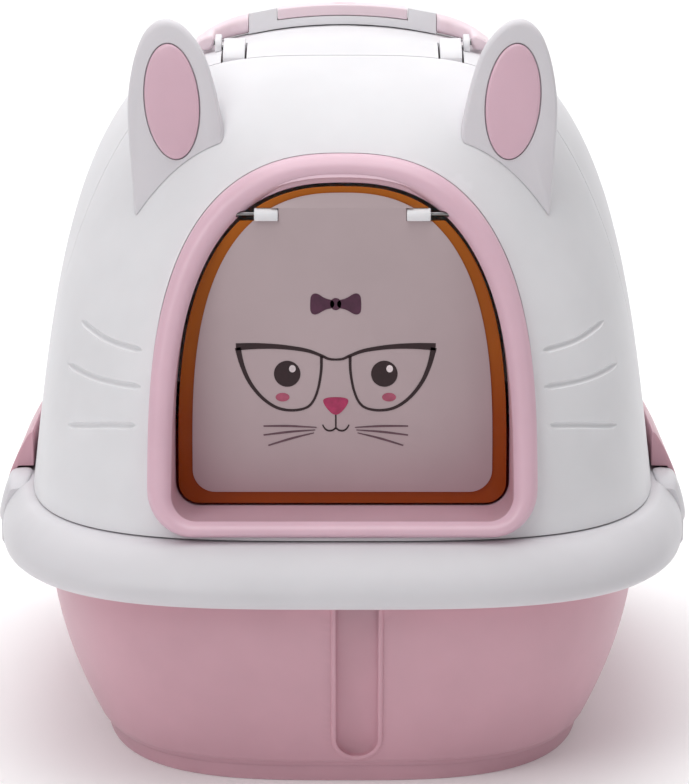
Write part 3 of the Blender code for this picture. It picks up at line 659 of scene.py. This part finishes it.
def make_pan():
    floor_half = (PAN_FOOT[0] * 0.5, PAN_FOOT[1] * 0.5)
    rings = [oval(*floor_half, PAN_N, 0.0)]
    rings.append(oval(PAN_FOOT[0] - 0.0012, PAN_FOOT[1] - 0.0012, PAN_N, 0.0))
    rings.append(oval(PAN_FOOT[0] - 0.0003, PAN_FOOT[1] - 0.0003, PAN_N, 0.0004))
    rings.append(oval(*PAN_FOOT, PAN_N, 0.0014))
    rings.append(oval(PAN_FOOT[0] + 0.001, PAN_FOOT[1] + 0.001, PAN_N, PAN_FOOT_TOP - 0.0002))
    rings.append(oval(PAN_FOOT[0] + 0.0016, PAN_FOOT[1] + 0.0016, PAN_N, PAN_FOOT_TOP + 0.0002))
    base = pan_wall(PAN_FOOT_TOP + 0.0010)
    rings.append(oval(base[0] - 0.0012, base[1] - 0.0012, PAN_N, PAN_FOOT_TOP + 0.0004))
    rings.append(oval(base[0] - 0.0002, base[1] - 0.0002, PAN_N, PAN_FOOT_TOP + 0.0010))
    levels = [0.0150 + (PAN_WALL_TOP - 0.0150) * i / 22 for i in range(23)]
    for z in levels:
        rings.append(oval(*pan_wall(z), PAN_N, z))
    flange_low, flange_high = PAN_FLANGE_Z
    rings.append(oval(PAN_FLANGE[0] - 0.0006, PAN_FLANGE[1] - 0.0006, RIM_N, flange_low))
    rings.append(oval(PAN_FLANGE[0], PAN_FLANGE[1], RIM_N, flange_low + 0.0008))
    rings.append(oval(PAN_FLANGE[0], PAN_FLANGE[1], RIM_N, flange_high - 0.0008))
    rings.append(oval(PAN_FLANGE[0] - 0.0008, PAN_FLANGE[1] - 0.0008, RIM_N, flange_high))
    for z in (flange_high, *reversed(levels[1:])):
        half_x, half_y = pan_wall(min(z, PAN_WALL_TOP))
        rings.append(oval(half_x - WALL, half_y - WALL, PAN_N, z))
    inner = pan_wall(levels[1])
    for inset, z in PAN_INSIDE_FOOT:
        rings.append(oval(inner[0] - inset, inner[1] - inset, PAN_N, z))
    rings.append(oval(*floor_half, PAN_N, 0.0050))
    pan = new_object("pan_shell", loft(rings))
    back = helper(channel_bar(
        CHANNEL_HALF + CHANNEL_WALL, CHANNEL_DEPTH + CHANNEL_BACK,
        CHANNEL_BOTTOM - 0.002, PAN_WALL_TOP - 0.0004, 0.0010, 0.0,
    ))
    half = CHANNEL_HALF + CHANNEL_LIP * 0.6
    path = []
    turn_z = CHANNEL_BOTTOM + CHANNEL_HALF
    for i in range(13):
        path.append((half, turn_z + (PAN_WALL_TOP - turn_z) * (1 - i / 13)))
    for i in range(25):
        turn = -math.pi * i / 24
        path.append((half * math.cos(turn), turn_z + half * math.sin(turn)))
    path += [(-x, z) for x, z in reversed(path[:13])]
    line = [(CHANNEL_X + x, -pan_wall(max(z, PAN_FOOT_TOP))[1] + 0.0004, z) for x, z in path]
    lip = helper(tube(line, [CHANNEL_LIP] * len(line), 14))
    boolean(pan, [back, lip], "UNION")
    inside = helper(channel_bar(
        CHANNEL_HALF, CHANNEL_DEPTH, CHANNEL_BOTTOM, flange_low + 0.02, 0.0, 0.02
    ))
    boolean(pan, [inside])
    place(pan, "pan")


RIM_SECTION = (
    # half width, half depth and height of each corner, from the crease round the outside and back inside
    (0.1885, 0.2180, 0.1465),
    (0.1940, 0.2265, 0.1455),
    (0.1995, 0.2360, 0.1405),
    (0.2038, 0.2440, 0.1335),
    (0.2060, 0.2488, 0.1260),
    (0.2052, 0.2496, 0.1195),
    (0.2015, 0.2480, 0.1165),
    (0.1975, 0.2462, 0.1165),
    (0.1972, 0.2462, 0.1193),
    (0.1925, 0.2425, 0.1193),
    (0.1925, 0.2425, 0.1222),
    (0.1962, 0.2445, 0.1235),
    (0.1958, 0.2425, 0.1310),
    (0.1935, 0.2345, 0.1375),
    (0.1905, 0.2260, 0.1420),
    (0.1870, 0.2165, 0.1435),
    (0.1800, 0.2092, 0.1435),
    (0.1800, 0.2092, 0.1482),
    (0.1804, 0.2096, 0.1488),
    (0.1818, 0.2110, 0.1488),
    (0.1826, 0.2118, 0.1482),
    (0.1828, 0.2120, 0.1465),
)
RIM_SMOOTH = 7

CHEEK = (
    # x and z round the raised cheek that holds a latch's pin
    (0.1990, 0.1195),
    (0.2062, 0.1197),
    (0.2083, 0.1225),
    (0.2081, 0.1290),
    (0.2057, 0.1385),
    (0.2030, 0.1465),
    (0.2000, 0.1490),
    (0.1893, 0.1494),
    (0.1892, 0.1440),
)
CHEEK_ROOT = (0.1965, 0.1330)
CHEEK_ENDS = (
    # distance from the middle and size of the cheek there
    (0.0506, 0.99), (0.0512, 1.0), (0.0600, 1.0), (0.0680, 0.985),
    (0.0720, 0.96), (0.0760, 0.90), (0.0795, 0.80), (0.0820, 0.66),
)
LUG = (
    # x and z of the lug that hangs below a cheek
    (0.2020, 0.1215), (0.2020, 0.1070), (0.2036, 0.1040),
    (0.2062, 0.1040), (0.2078, 0.1070), (0.2078, 0.1215),
)
LUG_Y = (0.0508, 0.0640)
LATCH_PIN_R = 0.0016
RECESS = (
    # x and z of the space cut into the ring for a lever
    (0.2100, 0.1215),
    (0.2010, 0.1215),
    (0.2008, 0.1310),
    (0.1992, 0.1370),
    (0.1968, 0.1432),
    (0.1945, 0.1500),
    (0.2100, 0.1500),
)
LEVER_OUTER = (
    # x and z up the outside of a lever, then down its inside in LEVER_INNER
    (0.2081, 0.1262), (0.2078, 0.1310), (0.2058, 0.1385), (0.2026, 0.1480),
    (0.1990, 0.1562), (0.1948, 0.1642), (0.1918, 0.1692), (0.1896, 0.1712),
)
LEVER_INNER = (
    (0.1889, 0.1700), (0.1889, 0.1500), (0.1985, 0.1498),
    (0.2012, 0.1420), (0.2028, 0.1360), (0.2032, 0.1300),
)


def make_rim():
    outside = curve_through(RIM_SECTION[:RIM_SMOOTH], 5)
    section = outside + list(RIM_SECTION[RIM_SMOOTH:])
    rings = [oval(a, b, RIM_N, z) for a, b, z in section]
    rim = new_object("rim_shell", loft(rings, closed=True))
    added, cut = [], []
    outline = rounded(CHEEK, 2)
    recess_half = CHEEK_ENDS[0][0] - 0.0001
    for side, _ in SIDES:
        for end in (-1, 1):
            sections = []
            for y, scale in CHEEK_ENDS:
                ring = []
                for x, z in outline:
                    grown_x = CHEEK_ROOT[0] + (x - CHEEK_ROOT[0]) * scale
                    grown_z = CHEEK_ROOT[1] + (z - CHEEK_ROOT[1]) * scale
                    ring.append((side * grown_x, end * y, grown_z))
                sections.append(ring)
            added.append(helper(loft(sections)))
            low, high = sorted(end * y for y in LUG_Y)
            lug = helper(bar([(side * x, z) for x, z in LUG], low, high, "Y"))
            added.append(bevel(lug, 0.0008, 3))
        recess = [(side * x, z) for x, z in RECESS]
        cut.append(helper(bar(recess, -recess_half, recess_half, "Y")))
        centre = (side * LATCH_AXIS[0], 0.0, LATCH_AXIS[1])
        cut.append(helper(rod(centre, "Y", LATCH_PIN_R + GAP, LATCH_BORE_LENGTH)))
    boolean(rim, added, "UNION")
    boolean(rim, cut)
    # The ring takes the darker copy of the white plastic, a painted shade.
    rim.data.materials.append(MATERIALS["rim_white_painted_shade"])
    place(rim, "rim_ring")


def make_latches():
    barrel = []
    for i in range(11):
        turn = math.radians(195 + 165 * i / 11)
        x = LATCH_AXIS[0] + LEVER_BARREL_R * math.cos(turn)
        barrel.append((x, LATCH_AXIS[1] + LEVER_BARREL_R * math.sin(turn)))
    profile = curve_through(LEVER_OUTER, 4) + list(LEVER_INNER) + barrel
    for side, side_name in SIDES:
        shape = [(side * x, z) for x, z in profile]
        lever = new_object(f"latch_lever_{side_name}", bar(shape, -LEVER_HALF, LEVER_HALF, "Y"))
        bevel(lever, 0.0007, 3, 50)
        centre = (side * LATCH_AXIS[0], 0.0, LATCH_AXIS[1])
        boolean(lever, [helper(rod(centre, "Y", LATCH_PIN_R + GAP, LEVER_EYE_LENGTH))])
        place(lever, f"latch_{side_name}")


# ---------------------------------------------------------------- pieces of the lid and the flap

def make_hood():
    rear = half_shell("hood_rear_shell", keep_front=False)
    notches = []
    for side, _ in SIDES:
        low, high = sorted(side * x for x in NOTCH_X)
        notches.append(helper(box((low, -0.080, 0.375), (high, -0.0400, 0.43))))
    boolean(rear, notches)
    place(rear, "hood_rear")
    front = half_shell("hood_front_shell", keep_front=True)
    outline = arch(**grown(FRAME_OUT, GAP))
    hole = helper(loft([at_depth(outline, y) for y in (-0.26, -0.10)]))
    boolean(front, [hole, *whisker_cutters()])
    place(front, "hood_front")


def make_frame():
    outer = arch(**FRAME_OUT)
    inner = arch(**FRAME_IN)
    tunnel_shape = {**FRAME_IN, "foot": TUNNEL_FOOT}
    tunnel = arch(**tunnel_shape)
    rings = []
    steps = 16
    for i in range(steps + 1):
        across = 1 - 2 * i / steps
        share = 0.5 + 0.5 * math.sin(across * math.pi / 2)
        back = FRAME_CROWN * abs(2 * share - 1) ** 2.6
        rings.append(on_face(between(inner, outer, share), back))
    rings.append([
        (x, min(face_y(z) + 0.006, TUNNEL_BACK_Y - 0.0006), z)
        for x, z in between(inner, tunnel, 0.10)
    ])
    rings.append(at_depth(tunnel, TUNNEL_BACK_Y))
    rings.append(at_depth(arch(**grown(tunnel_shape, 0.0028)), TUNNEL_BACK_Y))
    roof = on_face(arch(**grown(FRAME_IN, 0.0030)), 0.0055)
    rings.append([(x, min(y, TUNNEL_BACK_Y - 0.001), z) for x, y, z in roof])
    rings.append(on_face(arch(**grown(FRAME_OUT, -0.0030)), 0.0055))
    rings.append(on_face(arch(**grown(FRAME_OUT, -0.0025)), 0.0160))
    rings.append(on_face(outer, 0.0160))
    surround = new_object("door_surround", loft(rings, closed=True))
    sockets = []
    for side, _ in SIDES:
        centre = (side * FLAP_SOCKET_X, *FLAP_AXIS)
        sockets.append(helper(rod(centre, "X", FLAP_SOCKET_R, FLAP_SOCKET_LENGTH)))
    boolean(surround, sockets)
    place(surround, "door_frame")


def make_flap():
    back = FLAP_AXIS[0] + FLAP_THICK / 2
    front = FLAP_AXIS[0] - FLAP_THICK / 2
    outline = arch(**grown({**FRAME_IN, "foot": TUNNEL_FOOT}, -FLAP_CLEAR))
    plate = new_object("flap_plate", loft([at_depth(outline, y) for y in (front, back)]))
    panel_front = front - GAP - PANEL_THICK
    outline = arch(**PANEL)
    depths = (panel_front, front - GAP)
    panel = new_object("flap_print_panel", loft([at_depth(outline, y) for y in depths]))
    notch_half = TAB_HALF_HEIGHT + GAP
    for piece in (plate, panel):
        notches = []
        for side, _ in SIDES:
            low, high = sorted((side * (TAB_X[0] - GAP), side * 0.09))
            notches.append(helper(box(
                (low, -0.17, FLAP_AXIS[1] - notch_half), (high, -0.15, FLAP_AXIS[1] + notch_half)
            )))
        boolean(piece, notches)
    bevel(plate, 0.0005, 2)
    bevel(panel, 0.0003, 2)
    place(plate, "flap")
    place(panel, "flap_panel")
    for side, side_name in SIDES:
        low, high = sorted(side * x for x in TAB_X)
        profile = [(FLAP_AXIS[0] + y, FLAP_AXIS[1] + z) for y, z in TAB_PROFILE]
        tab = new_object(f"flap_hinge_tab_{side_name}", bar(profile, low, high))
        bevel(tab, 0.0006, 3, 25)
        centre = (side * TAB_X[1], *FLAP_AXIS)
        boolean(tab, [helper(rod(centre, "X", TAB_BORE_R, 0.0160))])
        place(tab, f"flap_tab_{side_name}")


# ---------------------------------------------------------------- printed face

PRINT_Y = FLAP_AXIS[0] - FLAP_THICK / 2 - GAP - PANEL_THICK
PRINT_THICK = 0.00025
PRINT_X = -0.0038
INK = {
    "dark": printed("ink_dark", (0.022, 0.004, 0.007)),
    "plum": printed("ink_plum", (0.075, 0.016, 0.045)),
    "rose": printed("ink_rose", (0.42, 0.085, 0.15)),
    "magenta": printed("ink_magenta", (0.40, 0.028, 0.105)),
    "grey": printed("ink_grey", (0.13, 0.065, 0.085)),
    "light": printed("ink_light", (0.80, 0.70, 0.72)),
}


def flat_shape(outline, lift=0.0):
    """A thin printed layer from an outline in X and Z."""
    return loft([
        [(PRINT_X + x, PRINT_Y - PRINT_THICK - lift, z) for x, z in outline],
        [(PRINT_X + x, PRINT_Y + 0.0002, z) for x, z in outline],
    ])


def ellipse(centre, half_x, half_z, count=40):
    turns = [2 * math.pi * i / count for i in range(count)]
    return [(centre[0] + half_x * math.cos(t), centre[1] + half_z * math.sin(t)) for t in turns]


STROKE_STEPS = 8


def stroke(points, widths):
    """The outline of a drawn line: smooth through the points, with a width at each of them."""
    line = curve_through([(x, z, w) for (x, z), w in zip(points, widths)], STROKE_STEPS)
    left, right = [], []
    for i, (x, z, width) in enumerate(line):
        x0, z0, _ = line[max(0, i - 1)]
        x1, z1, _ = line[min(len(line) - 1, i + 1)]
        length = math.hypot(x1 - x0, z1 - z0)
        nx, nz = -(z1 - z0) / length, (x1 - x0) / length
        left.append((x + nx * width / 2, z + nz * width / 2))
        right.append((x - nx * width / 2, z - nz * width / 2))
    return left + right[::-1]


def layer(name, ink, outlines, lift=0.0):
    """One printed layer made of several shapes."""
    bm = bmesh.new()
    for outline in outlines:
        part = flat_shape(outline, lift)
        mesh = bpy.data.meshes.new("part")
        part.to_mesh(mesh)
        part.free()
        bm.from_mesh(mesh)
        bpy.data.meshes.remove(mesh)
    item = new_object(name, bm)
    item.data.materials.append(INK[ink])
    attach(item, BODY_OF["flap_panel"])


def mirror(outline):
    return [(-x, z) for x, z in reversed(outline)]


def both(outlines):
    return list(outlines) + [mirror(outline) for outline in outlines]


EYE_AT = (0.0278, 0.2315)
EYE_R = 0.0076
EYE_SHINE_AT = 0.0030
NOSE = ((-0.0072, 0.2178), (0.0072, 0.2178), (0.0072, 0.2135), (0.0, 0.2055), (-0.0072, 0.2135))
HAIRS = (
    # the ends of three whiskers
    ((0.0110, 0.2000), (0.0415, 0.2008)),
    ((0.0118, 0.1985), (0.0415, 0.1955)),
    ((0.0125, 0.1968), (0.0388, 0.1894)),
)
BOW_WING = (
    (0.0008, 0.2742), (0.0060, 0.2752), (0.0108, 0.2786), (0.0142, 0.2775), (0.0146, 0.2722),
    (0.0144, 0.2668), (0.0112, 0.2656), (0.0060, 0.2690), (0.0008, 0.2700),
)


def make_print():
    """A generic cat's face, printed on the panel in thin layers."""
    brow = stroke(
        (
            (0.0, 0.2398), (0.0040, 0.2402), (0.0085, 0.2422), (0.0170, 0.2452),
            (0.0310, 0.2472), (0.0450, 0.2477), (0.0570, 0.2472),
        ),
        (0.0012, 0.0014, 0.0017, 0.0021, 0.0026, 0.0034, 0.0042),
    )
    lens = stroke(
        (
            (0.0082, 0.2418), (0.0084, 0.2330), (0.0102, 0.2225), (0.0134, 0.2148),
            (0.0180, 0.2112), (0.0262, 0.2101), (0.0345, 0.2120), (0.0425, 0.2178),
            (0.0492, 0.2265), (0.0535, 0.2365), (0.0560, 0.2468),
        ),
        (0.0017, 0.0015, 0.0014, 0.0014, 0.0014, 0.0015, 0.0017, 0.0019, 0.0022, 0.0026, 0.0034),
    )
    layer("print_spectacles", "dark", both([brow, lens]))
    eye = ellipse(EYE_AT, EYE_R, EYE_R)
    layer("print_eyes", "dark", both([eye]))
    shines = []
    for x in (-EYE_AT[0], EYE_AT[0]):
        shines.append(ellipse((x + EYE_SHINE_AT, EYE_AT[1] + EYE_SHINE_AT), 0.0019, 0.0021, 20))
    layer("print_eye_shines", "light", shines, 0.0003)
    layer("print_cheeks", "rose", both([ellipse((0.0305, 0.2178), 0.0040, 0.0025)]))
    layer("print_nose", "magenta", [rounded(NOSE, 3)])
    stem = stroke(((0.0, 0.2075), (0.0, 0.2035), (0.0, 0.1990)), (0.0009, 0.0009, 0.0009))
    smile = stroke(
        ((0.0, 0.1998), (0.0018, 0.1984), (0.0042, 0.1981), (0.0062, 0.1993), (0.0076, 0.2016)),
        (0.0009, 0.0010, 0.0010, 0.0009, 0.0007),
    )
    layer("print_mouth", "dark", [stem, *both([smile])])
    hairs = []
    for start, end in HAIRS:
        middle = ((start[0] + end[0]) / 2, (start[1] + end[1]) / 2 + 0.0004)
        hairs.append(stroke((start, middle, end), (0.0005, 0.0012, 0.0008)))
    layer("print_whiskers", "grey", both(hairs))
    wing = rounded(BOW_WING, 2)
    knot = ellipse((0.0, 0.2721), 0.0032, 0.0035, 28)
    layer("print_bow", "plum", [*both([wing]), knot])


# ---------------------------------------------------------------- ears

EAR_OUTLINE = (
    # x and z of the right ear, anticlockwise from the lower outer corner
    (0.1200, 0.3120),
    (0.1222, 0.3440),
    (0.1238, 0.3700),
    (0.1234, 0.3870),
    (0.1203, 0.4050),
    (0.1152, 0.4190),
    (0.1085, 0.4268),
    (0.1015, 0.4290),
    (0.0940, 0.4268),
    (0.0868, 0.4205),
    (0.0800, 0.4105),
    (0.0745, 0.3950),
    (0.0704, 0.3780),
    (0.0682, 0.3640),
    (0.0682, 0.3400),
)


EAR_SECTIONS = (
    # distance behind the ear's face and size there, from the front to the back
    (0.0, 0.925), (0.0002, 0.945), (0.0008, 0.968), (0.0018, 0.987),
    (0.0034, 0.997), (0.0060, 1.0), (0.0105, 0.985), (0.0150, 0.96),
    (0.0200, 0.91), (0.0240, 0.84), (0.0275, 0.76), (0.0300, 0.62),
)
EAR_ROOT_TOP = 0.345
EAR_ROOT_BLEND = 0.012
INSERT_LAYERS = (
    # how much smaller the insert is and its distance behind the ear's face
    (0.0007, 0.0016), (0.0007, -0.0004), (0.0010, -0.0009), (0.0018, -0.0013),
    (0.0030, -0.0016), (0.0075, -0.0021), (0.0120, -0.0023),
)
INSERT_STEPS = 64


def ear_y(x, z):
    return EAR_FACE_Y + EAR_LEAN * (z - EAR_FOOT_Z) + EAR_TURN * (x - EAR_MIDDLE[0])


def insert_outline(shrink):
    points = []
    for i in range(INSERT_STEPS):
        turn = 2 * math.pi * i / INSERT_STEPS
        u = (INSERT_HALF[0] - shrink) * math.cos(turn)
        v = (INSERT_HALF[1] - shrink) * math.sin(turn)
        x = INSERT_CENTRE[0] + u * math.cos(INSERT_TILT) + v * math.sin(INSERT_TILT)
        z = INSERT_CENTRE[1] - u * math.sin(INSERT_TILT) + v * math.cos(INSERT_TILT)
        points.append((x, z))
    return points


def make_ears():
    line = curve_through(EAR_OUTLINE, 6)
    for side, side_name in SIDES:
        sections = []
        for back, scale in EAR_SECTIONS:
            section = []
            for x, z in line:
                grown_x = EAR_MIDDLE[0] + (x - EAR_MIDDLE[0]) * scale
                share = min(1.0, max(0.0, (z - EAR_ROOT_TOP) / EAR_ROOT_BLEND))
                grown_z = z + (EAR_MIDDLE[1] + (z - EAR_MIDDLE[1]) * scale - z) * share
                section.append((side * grown_x, ear_y(grown_x, grown_z) + back, grown_z))
            sections.append(section)
        ear = new_object(f"ear_shell_{side_name}", loft(sections))
        envelope = helper(loft(hood_rings(offset=GAP, base_drop=0.01, steps=40)))
        pocket = helper(loft([
            [(side * x, ear_y(x, z) + back, z) for x, z in insert_outline(0.0)]
            for back in (-0.01, 0.0020)
        ]))
        boolean(ear, [envelope, pocket])
        place(ear, f"ear_{side_name}")
        layers = []
        for shrink, back in INSERT_LAYERS:
            layers.append([(side * x, ear_y(x, z) + back, z) for x, z in insert_outline(shrink)])
        insert = new_object(f"ear_inner_{side_name}", loft(layers))
        place(insert, f"ear_insert_{side_name}")


# ---------------------------------------------------------------- top of the hood

KNUCKLE_TAIL = (
    # y and z of the arm that runs from the knuckle over the seam and under the lid's wall
    (-0.0600, 0.4085), (-0.0690, 0.4052), (-0.0718, 0.4020), (-0.0720, 0.3925),
    (-0.0905, 0.3850), (-0.0905, 0.3820), (-0.0710, 0.3885), (-0.0560, 0.3985),
)
BRACKET_TAIL = ((-0.0410, 0.4128), (-0.0370, 0.4118), (-0.0355, 0.4090), (-0.0355, 0.3950))


def make_top_fittings():
    axis_y, axis_z = LID_AXIS
    envelope_rings = hood_rings(offset=GAP, base_drop=0.01, steps=40)
    for side, side_name in SIDES:
        profile = []
        for i in range(25):
            turn = math.radians(-70 + 170 * i / 24)
            y = axis_y + KNUCKLE_R * math.cos(turn)
            profile.append((y, axis_z + KNUCKLE_R * math.sin(turn)))
        profile += KNUCKLE_TAIL
        low, high = sorted(side * x for x in KNUCKLE_X)
        knuckle = new_object(f"lid_knuckle_{side_name}", bar(profile, low, high))
        bevel(knuckle, 0.0005, 2)
        middle = (side * KNUCKLE_MIDDLE, axis_y, axis_z)
        boolean(knuckle, [helper(rod(middle, "X", LID_BORE_R, LID_BORE_LENGTH))])
        place(knuckle, f"lid_hinge_arm_{side_name}")

        plate = [(axis_y - BRACKET_R, 0.3950)]
        for i in range(13):
            turn = math.radians(180 - 90 * i / 12)
            y = axis_y + BRACKET_R * math.cos(turn)
            plate.append((y, axis_z + BRACKET_R * math.sin(turn)))
        plate += BRACKET_TAIL
        low, high = sorted(side * x for x in BRACKET_X)
        bracket = new_object(f"top_plate_{side_name}", bar(plate, low, high))
        bevel(bracket, 0.0005, 2)
        boolean(bracket, [
            helper(loft(envelope_rings)),
            helper(rod((side * LID_PIN_X, axis_y, axis_z), "X", LID_BORE_R, LID_BORE_LENGTH)),
            helper(rod((side * 0.0750, *HANDLE_AXIS), "X", HANDLE_BORE_R, 0.0056)),
        ])
        place(bracket, f"top_bracket_{side_name}")


def handle_top(x):
    """The height of the handle's top, which arches across the hood."""
    return max(0.4262 - 0.030 * (1 - math.sqrt(max(0.0, 1 - (x / 0.095) ** 2))), 0.4090)


def handle_bottom(x):
    """The height of the handle's underside, just clear of the deck."""
    return max(DECK_TOP + 0.0009 - DECK_CROWN * x * x, 0.4036)


def arm_section(centre, across, half):
    """A rounded rectangle across the handle's path."""
    corners = ((-1, 0.0), (-1, 1.0), (1, 1.0), (1, 0.0))
    section = []
    for s, t in rounded(corners, 3):
        x = centre[0] + across[0] * half * s
        y = centre[1] + across[1] * half * s
        low, high = handle_bottom(abs(x)), handle_top(abs(x))
        section.append((x, y, low + (high - low) * t))
    return section


def grip_section(x, share_low, share_high, crown):
    """A rectangle across the grip, between two shares of the handle's height."""
    low, high = handle_bottom(abs(x)), handle_top(abs(x)) + crown
    section = []
    for s, t in ((-1, 0.0), (-1, 1.0), (1, 1.0), (1, 0.0)):
        z = low + (high - low) * (share_low + (share_high - share_low) * t)
        section.append((x, GRIP_Y + s * GRIP_HALF, z))
    return section


COVER_FOOT = 0.42
BLOCK_CROWN = 0.0006
DIMPLE_HALF = (0.0085, 0.0045)
DIMPLE_DEPTH = 0.0009
DIMPLE_LAYERS = ((0.75, 1.0), (0.92, 0.6), (1.0, 0.1), (1.06, -2.0))


def make_handle():
    turn_r = 0.0200
    for side, side_name in SIDES:
        stations = [((0.0574, GRIP_Y), (0.0, 1.0), GRIP_HALF - 0.0005)]
        corner = (ARM_X - turn_r, GRIP_Y - turn_r)
        turns = 18
        for i in range(turns + 1):
            turn = math.radians(90 - 90 * i / turns)
            out = (math.cos(turn), math.sin(turn))
            half = GRIP_HALF + (ARM_HALF - GRIP_HALF) * i / turns
            stations.append(((corner[0] + turn_r * out[0], corner[1] + turn_r * out[1]), out, half))
        for y in (-0.018, -0.026, -0.034, HANDLE_AXIS[0], HANDLE_AXIS[0] - 0.0030):
            stations.append(((ARM_X, y), (1.0, 0.0), ARM_HALF))
        sections = []
        for station in stations:
            sections.append([(side * x, y, z) for x, y, z in arm_section(*station)])
        last = sections[-1]
        middle_x = side * ARM_X
        for along, shrink in ((0.0008, 0.88), (0.0016, 0.6)):
            tip = []
            for x, y, z in last:
                tip_x = middle_x + (x - middle_x) * (0.5 + shrink / 2)
                tip.append((tip_x, y - along, HANDLE_AXIS[1] + (z - HANDLE_AXIS[1]) * shrink))
            sections.append(tip)
        arm = new_object(f"handle_side_{side_name}", loft(sections))
        centre = (side * 0.0786, *HANDLE_AXIS)
        boolean(arm, [helper(rod(centre, "X", HANDLE_BORE_R, 0.0136))])
        place(arm, f"handle_arm_{side_name}")

    inner, outer = BLOCK_X
    steps = 24
    stations = [(-outer, 1.0, BLOCK_CROWN), (-inner, 1.0, BLOCK_CROWN), (-inner + 0.0001, COVER_FOOT, 0.0)]
    for i in range(1, steps):
        stations.append((-inner + 2 * inner * i / steps, COVER_FOOT, 0.0))
    stations += [(inner - 0.0001, COVER_FOOT, 0.0), (inner, 1.0, BLOCK_CROWN), (outer, 1.0, BLOCK_CROWN)]
    sections = [grip_section(x, 0.0, share, crown) for x, share, crown in stations]
    grip = new_object("handle_core", loft(sections))
    bevel(grip, 0.0007, 3)
    place(grip, "handle_grip")
    reach = inner - 0.0006
    sections = []
    for i in range(steps + 1):
        x = -reach + 2 * reach * i / steps
        section = grip_section(x, COVER_FOOT, 1.0, 0.0)
        lifted = []
        for px, py, pz in section:
            lifted.append((px, py, pz + (0.0004 if pz < section[1][2] - 0.001 else 0.0)))
        sections.append(lifted)
    cover = new_object("handle_centre", loft(sections))
    bevel(cover, 0.0010, 4)
    rim = ellipse((0.0, 0.0), *DIMPLE_HALF, 36)
    dimple = helper(loft([
        [(x * grow, GRIP_Y + y * grow, handle_top(0.0) - DIMPLE_DEPTH * depth) for x, y in rim]
        for grow, depth in DIMPLE_LAYERS
    ]))
    boolean(cover, [dimple])
    place(cover, "handle_cover")


# ---------------------------------------------------------------- carried-over pins, floor, light, camera

def finish_pins():
    for name, item in frame["nodes"].items():
        if "_pin_" in name:
            item.data.materials.clear()
            item.data.materials.append(MATERIALS["steel_pin"])


FLOOR_HALF = 5.0
FLOOR_FRONT = -4.0
SWEEP_START = 2.2
SWEEP_RADIUS = 1.2
SWEEP_TOP = 5.0


def make_floor():
    """A pale sweep that curves up far behind the object and glows a little, to come out near white."""
    profile = [(FLOOR_FRONT, 0.0), (SWEEP_START, 0.0)]
    for i in range(1, 13):
        turn = math.pi / 2 * i / 12
        y = SWEEP_START + SWEEP_RADIUS * math.sin(turn)
        profile.append((y, SWEEP_RADIUS * (1 - math.cos(turn))))
    profile.append((SWEEP_START + SWEEP_RADIUS, SWEEP_TOP))
    bm = bmesh.new()
    rows = [[bm.verts.new((x, y, z)) for y, z in profile] for x in (-FLOOR_HALF, FLOOR_HALF)]
    for i in range(len(profile) - 1):
        bm.faces.new((rows[0][i], rows[1][i], rows[1][i + 1], rows[0][i + 1]))
    floor = new_object("floor", bm)
    paper = bpy.data.materials.new("backdrop")
    paper.use_nodes = True
    shader = paper.node_tree.nodes["Principled BSDF"]
    shader.inputs["Base Color"].default_value = (0.93, 0.93, 0.935, 1.0)
    shader.inputs["Roughness"].default_value = 0.85
    shader.inputs["Emission Color"].default_value = (1.0, 1.0, 1.0, 1.0)
    shader.inputs["Emission Strength"].default_value = 0.08
    floor.data.materials.append(paper)


def area_light(name, place_at, aim, size, power):
    data = bpy.data.lights.new(name, "AREA")
    data.shape = "RECTANGLE"
    data.size, data.size_y = size
    data.energy = power
    item = bpy.data.objects.new(name, data)
    item.location = place_at
    along = Vector(aim) - Vector(place_at)
    item.rotation_euler = along.to_track_quat("-Z", "Y").to_euler()
    bpy.context.scene.collection.objects.link(item)


def make_light():
    world = bpy.data.worlds.new("studio")
    world.use_nodes = True
    back = world.node_tree.nodes["Background"]
    back.inputs["Color"].default_value = (1.0, 1.0, 1.0, 1.0)
    back.inputs["Strength"].default_value = 0.32
    bpy.context.scene.world = world
    area_light("key", (-1.2, -1.7, 1.9), (0.0, 0.0, 0.25), (1.3, 1.3), 14.0)
    area_light("top", (0.0, -0.4, 2.2), (0.0, 0.0, 0.3), (1.6, 1.6), 18.5)
    area_light("wash", (0.0, 1.2, 2.4), (0.0, 2.6, 0.4), (4.0, 2.0), 60.0)


CAMERA_TILT = math.radians(12.5)
CAMERA_DISTANCE = 2.0
CAMERA_TARGET_Z = 0.185
CAMERA_LENS = 147.08
CAMERA_X = 0.0012


def make_camera():
    data = bpy.data.cameras.new("camera")
    data.lens = CAMERA_LENS
    data.sensor_width = 36.0
    item = bpy.data.objects.new("camera", data)
    item.location = (
        CAMERA_X,
        -CAMERA_DISTANCE * math.cos(CAMERA_TILT),
        CAMERA_TARGET_Z + CAMERA_DISTANCE * math.sin(CAMERA_TILT),
    )
    item.rotation_euler = (math.pi / 2 - CAMERA_TILT, 0.0, 0.0)
    bpy.context.scene.collection.objects.link(item)
    bpy.context.scene.camera = item
    bpy.context.scene.view_settings.view_transform = "Standard"


make_pan()
make_rim()
make_latches()
make_hood()
make_frame()
make_flap()
make_print()
make_ears()
make_top_fittings()
make_handle()
finish_pins()
make_floor()
make_light()
make_camera()
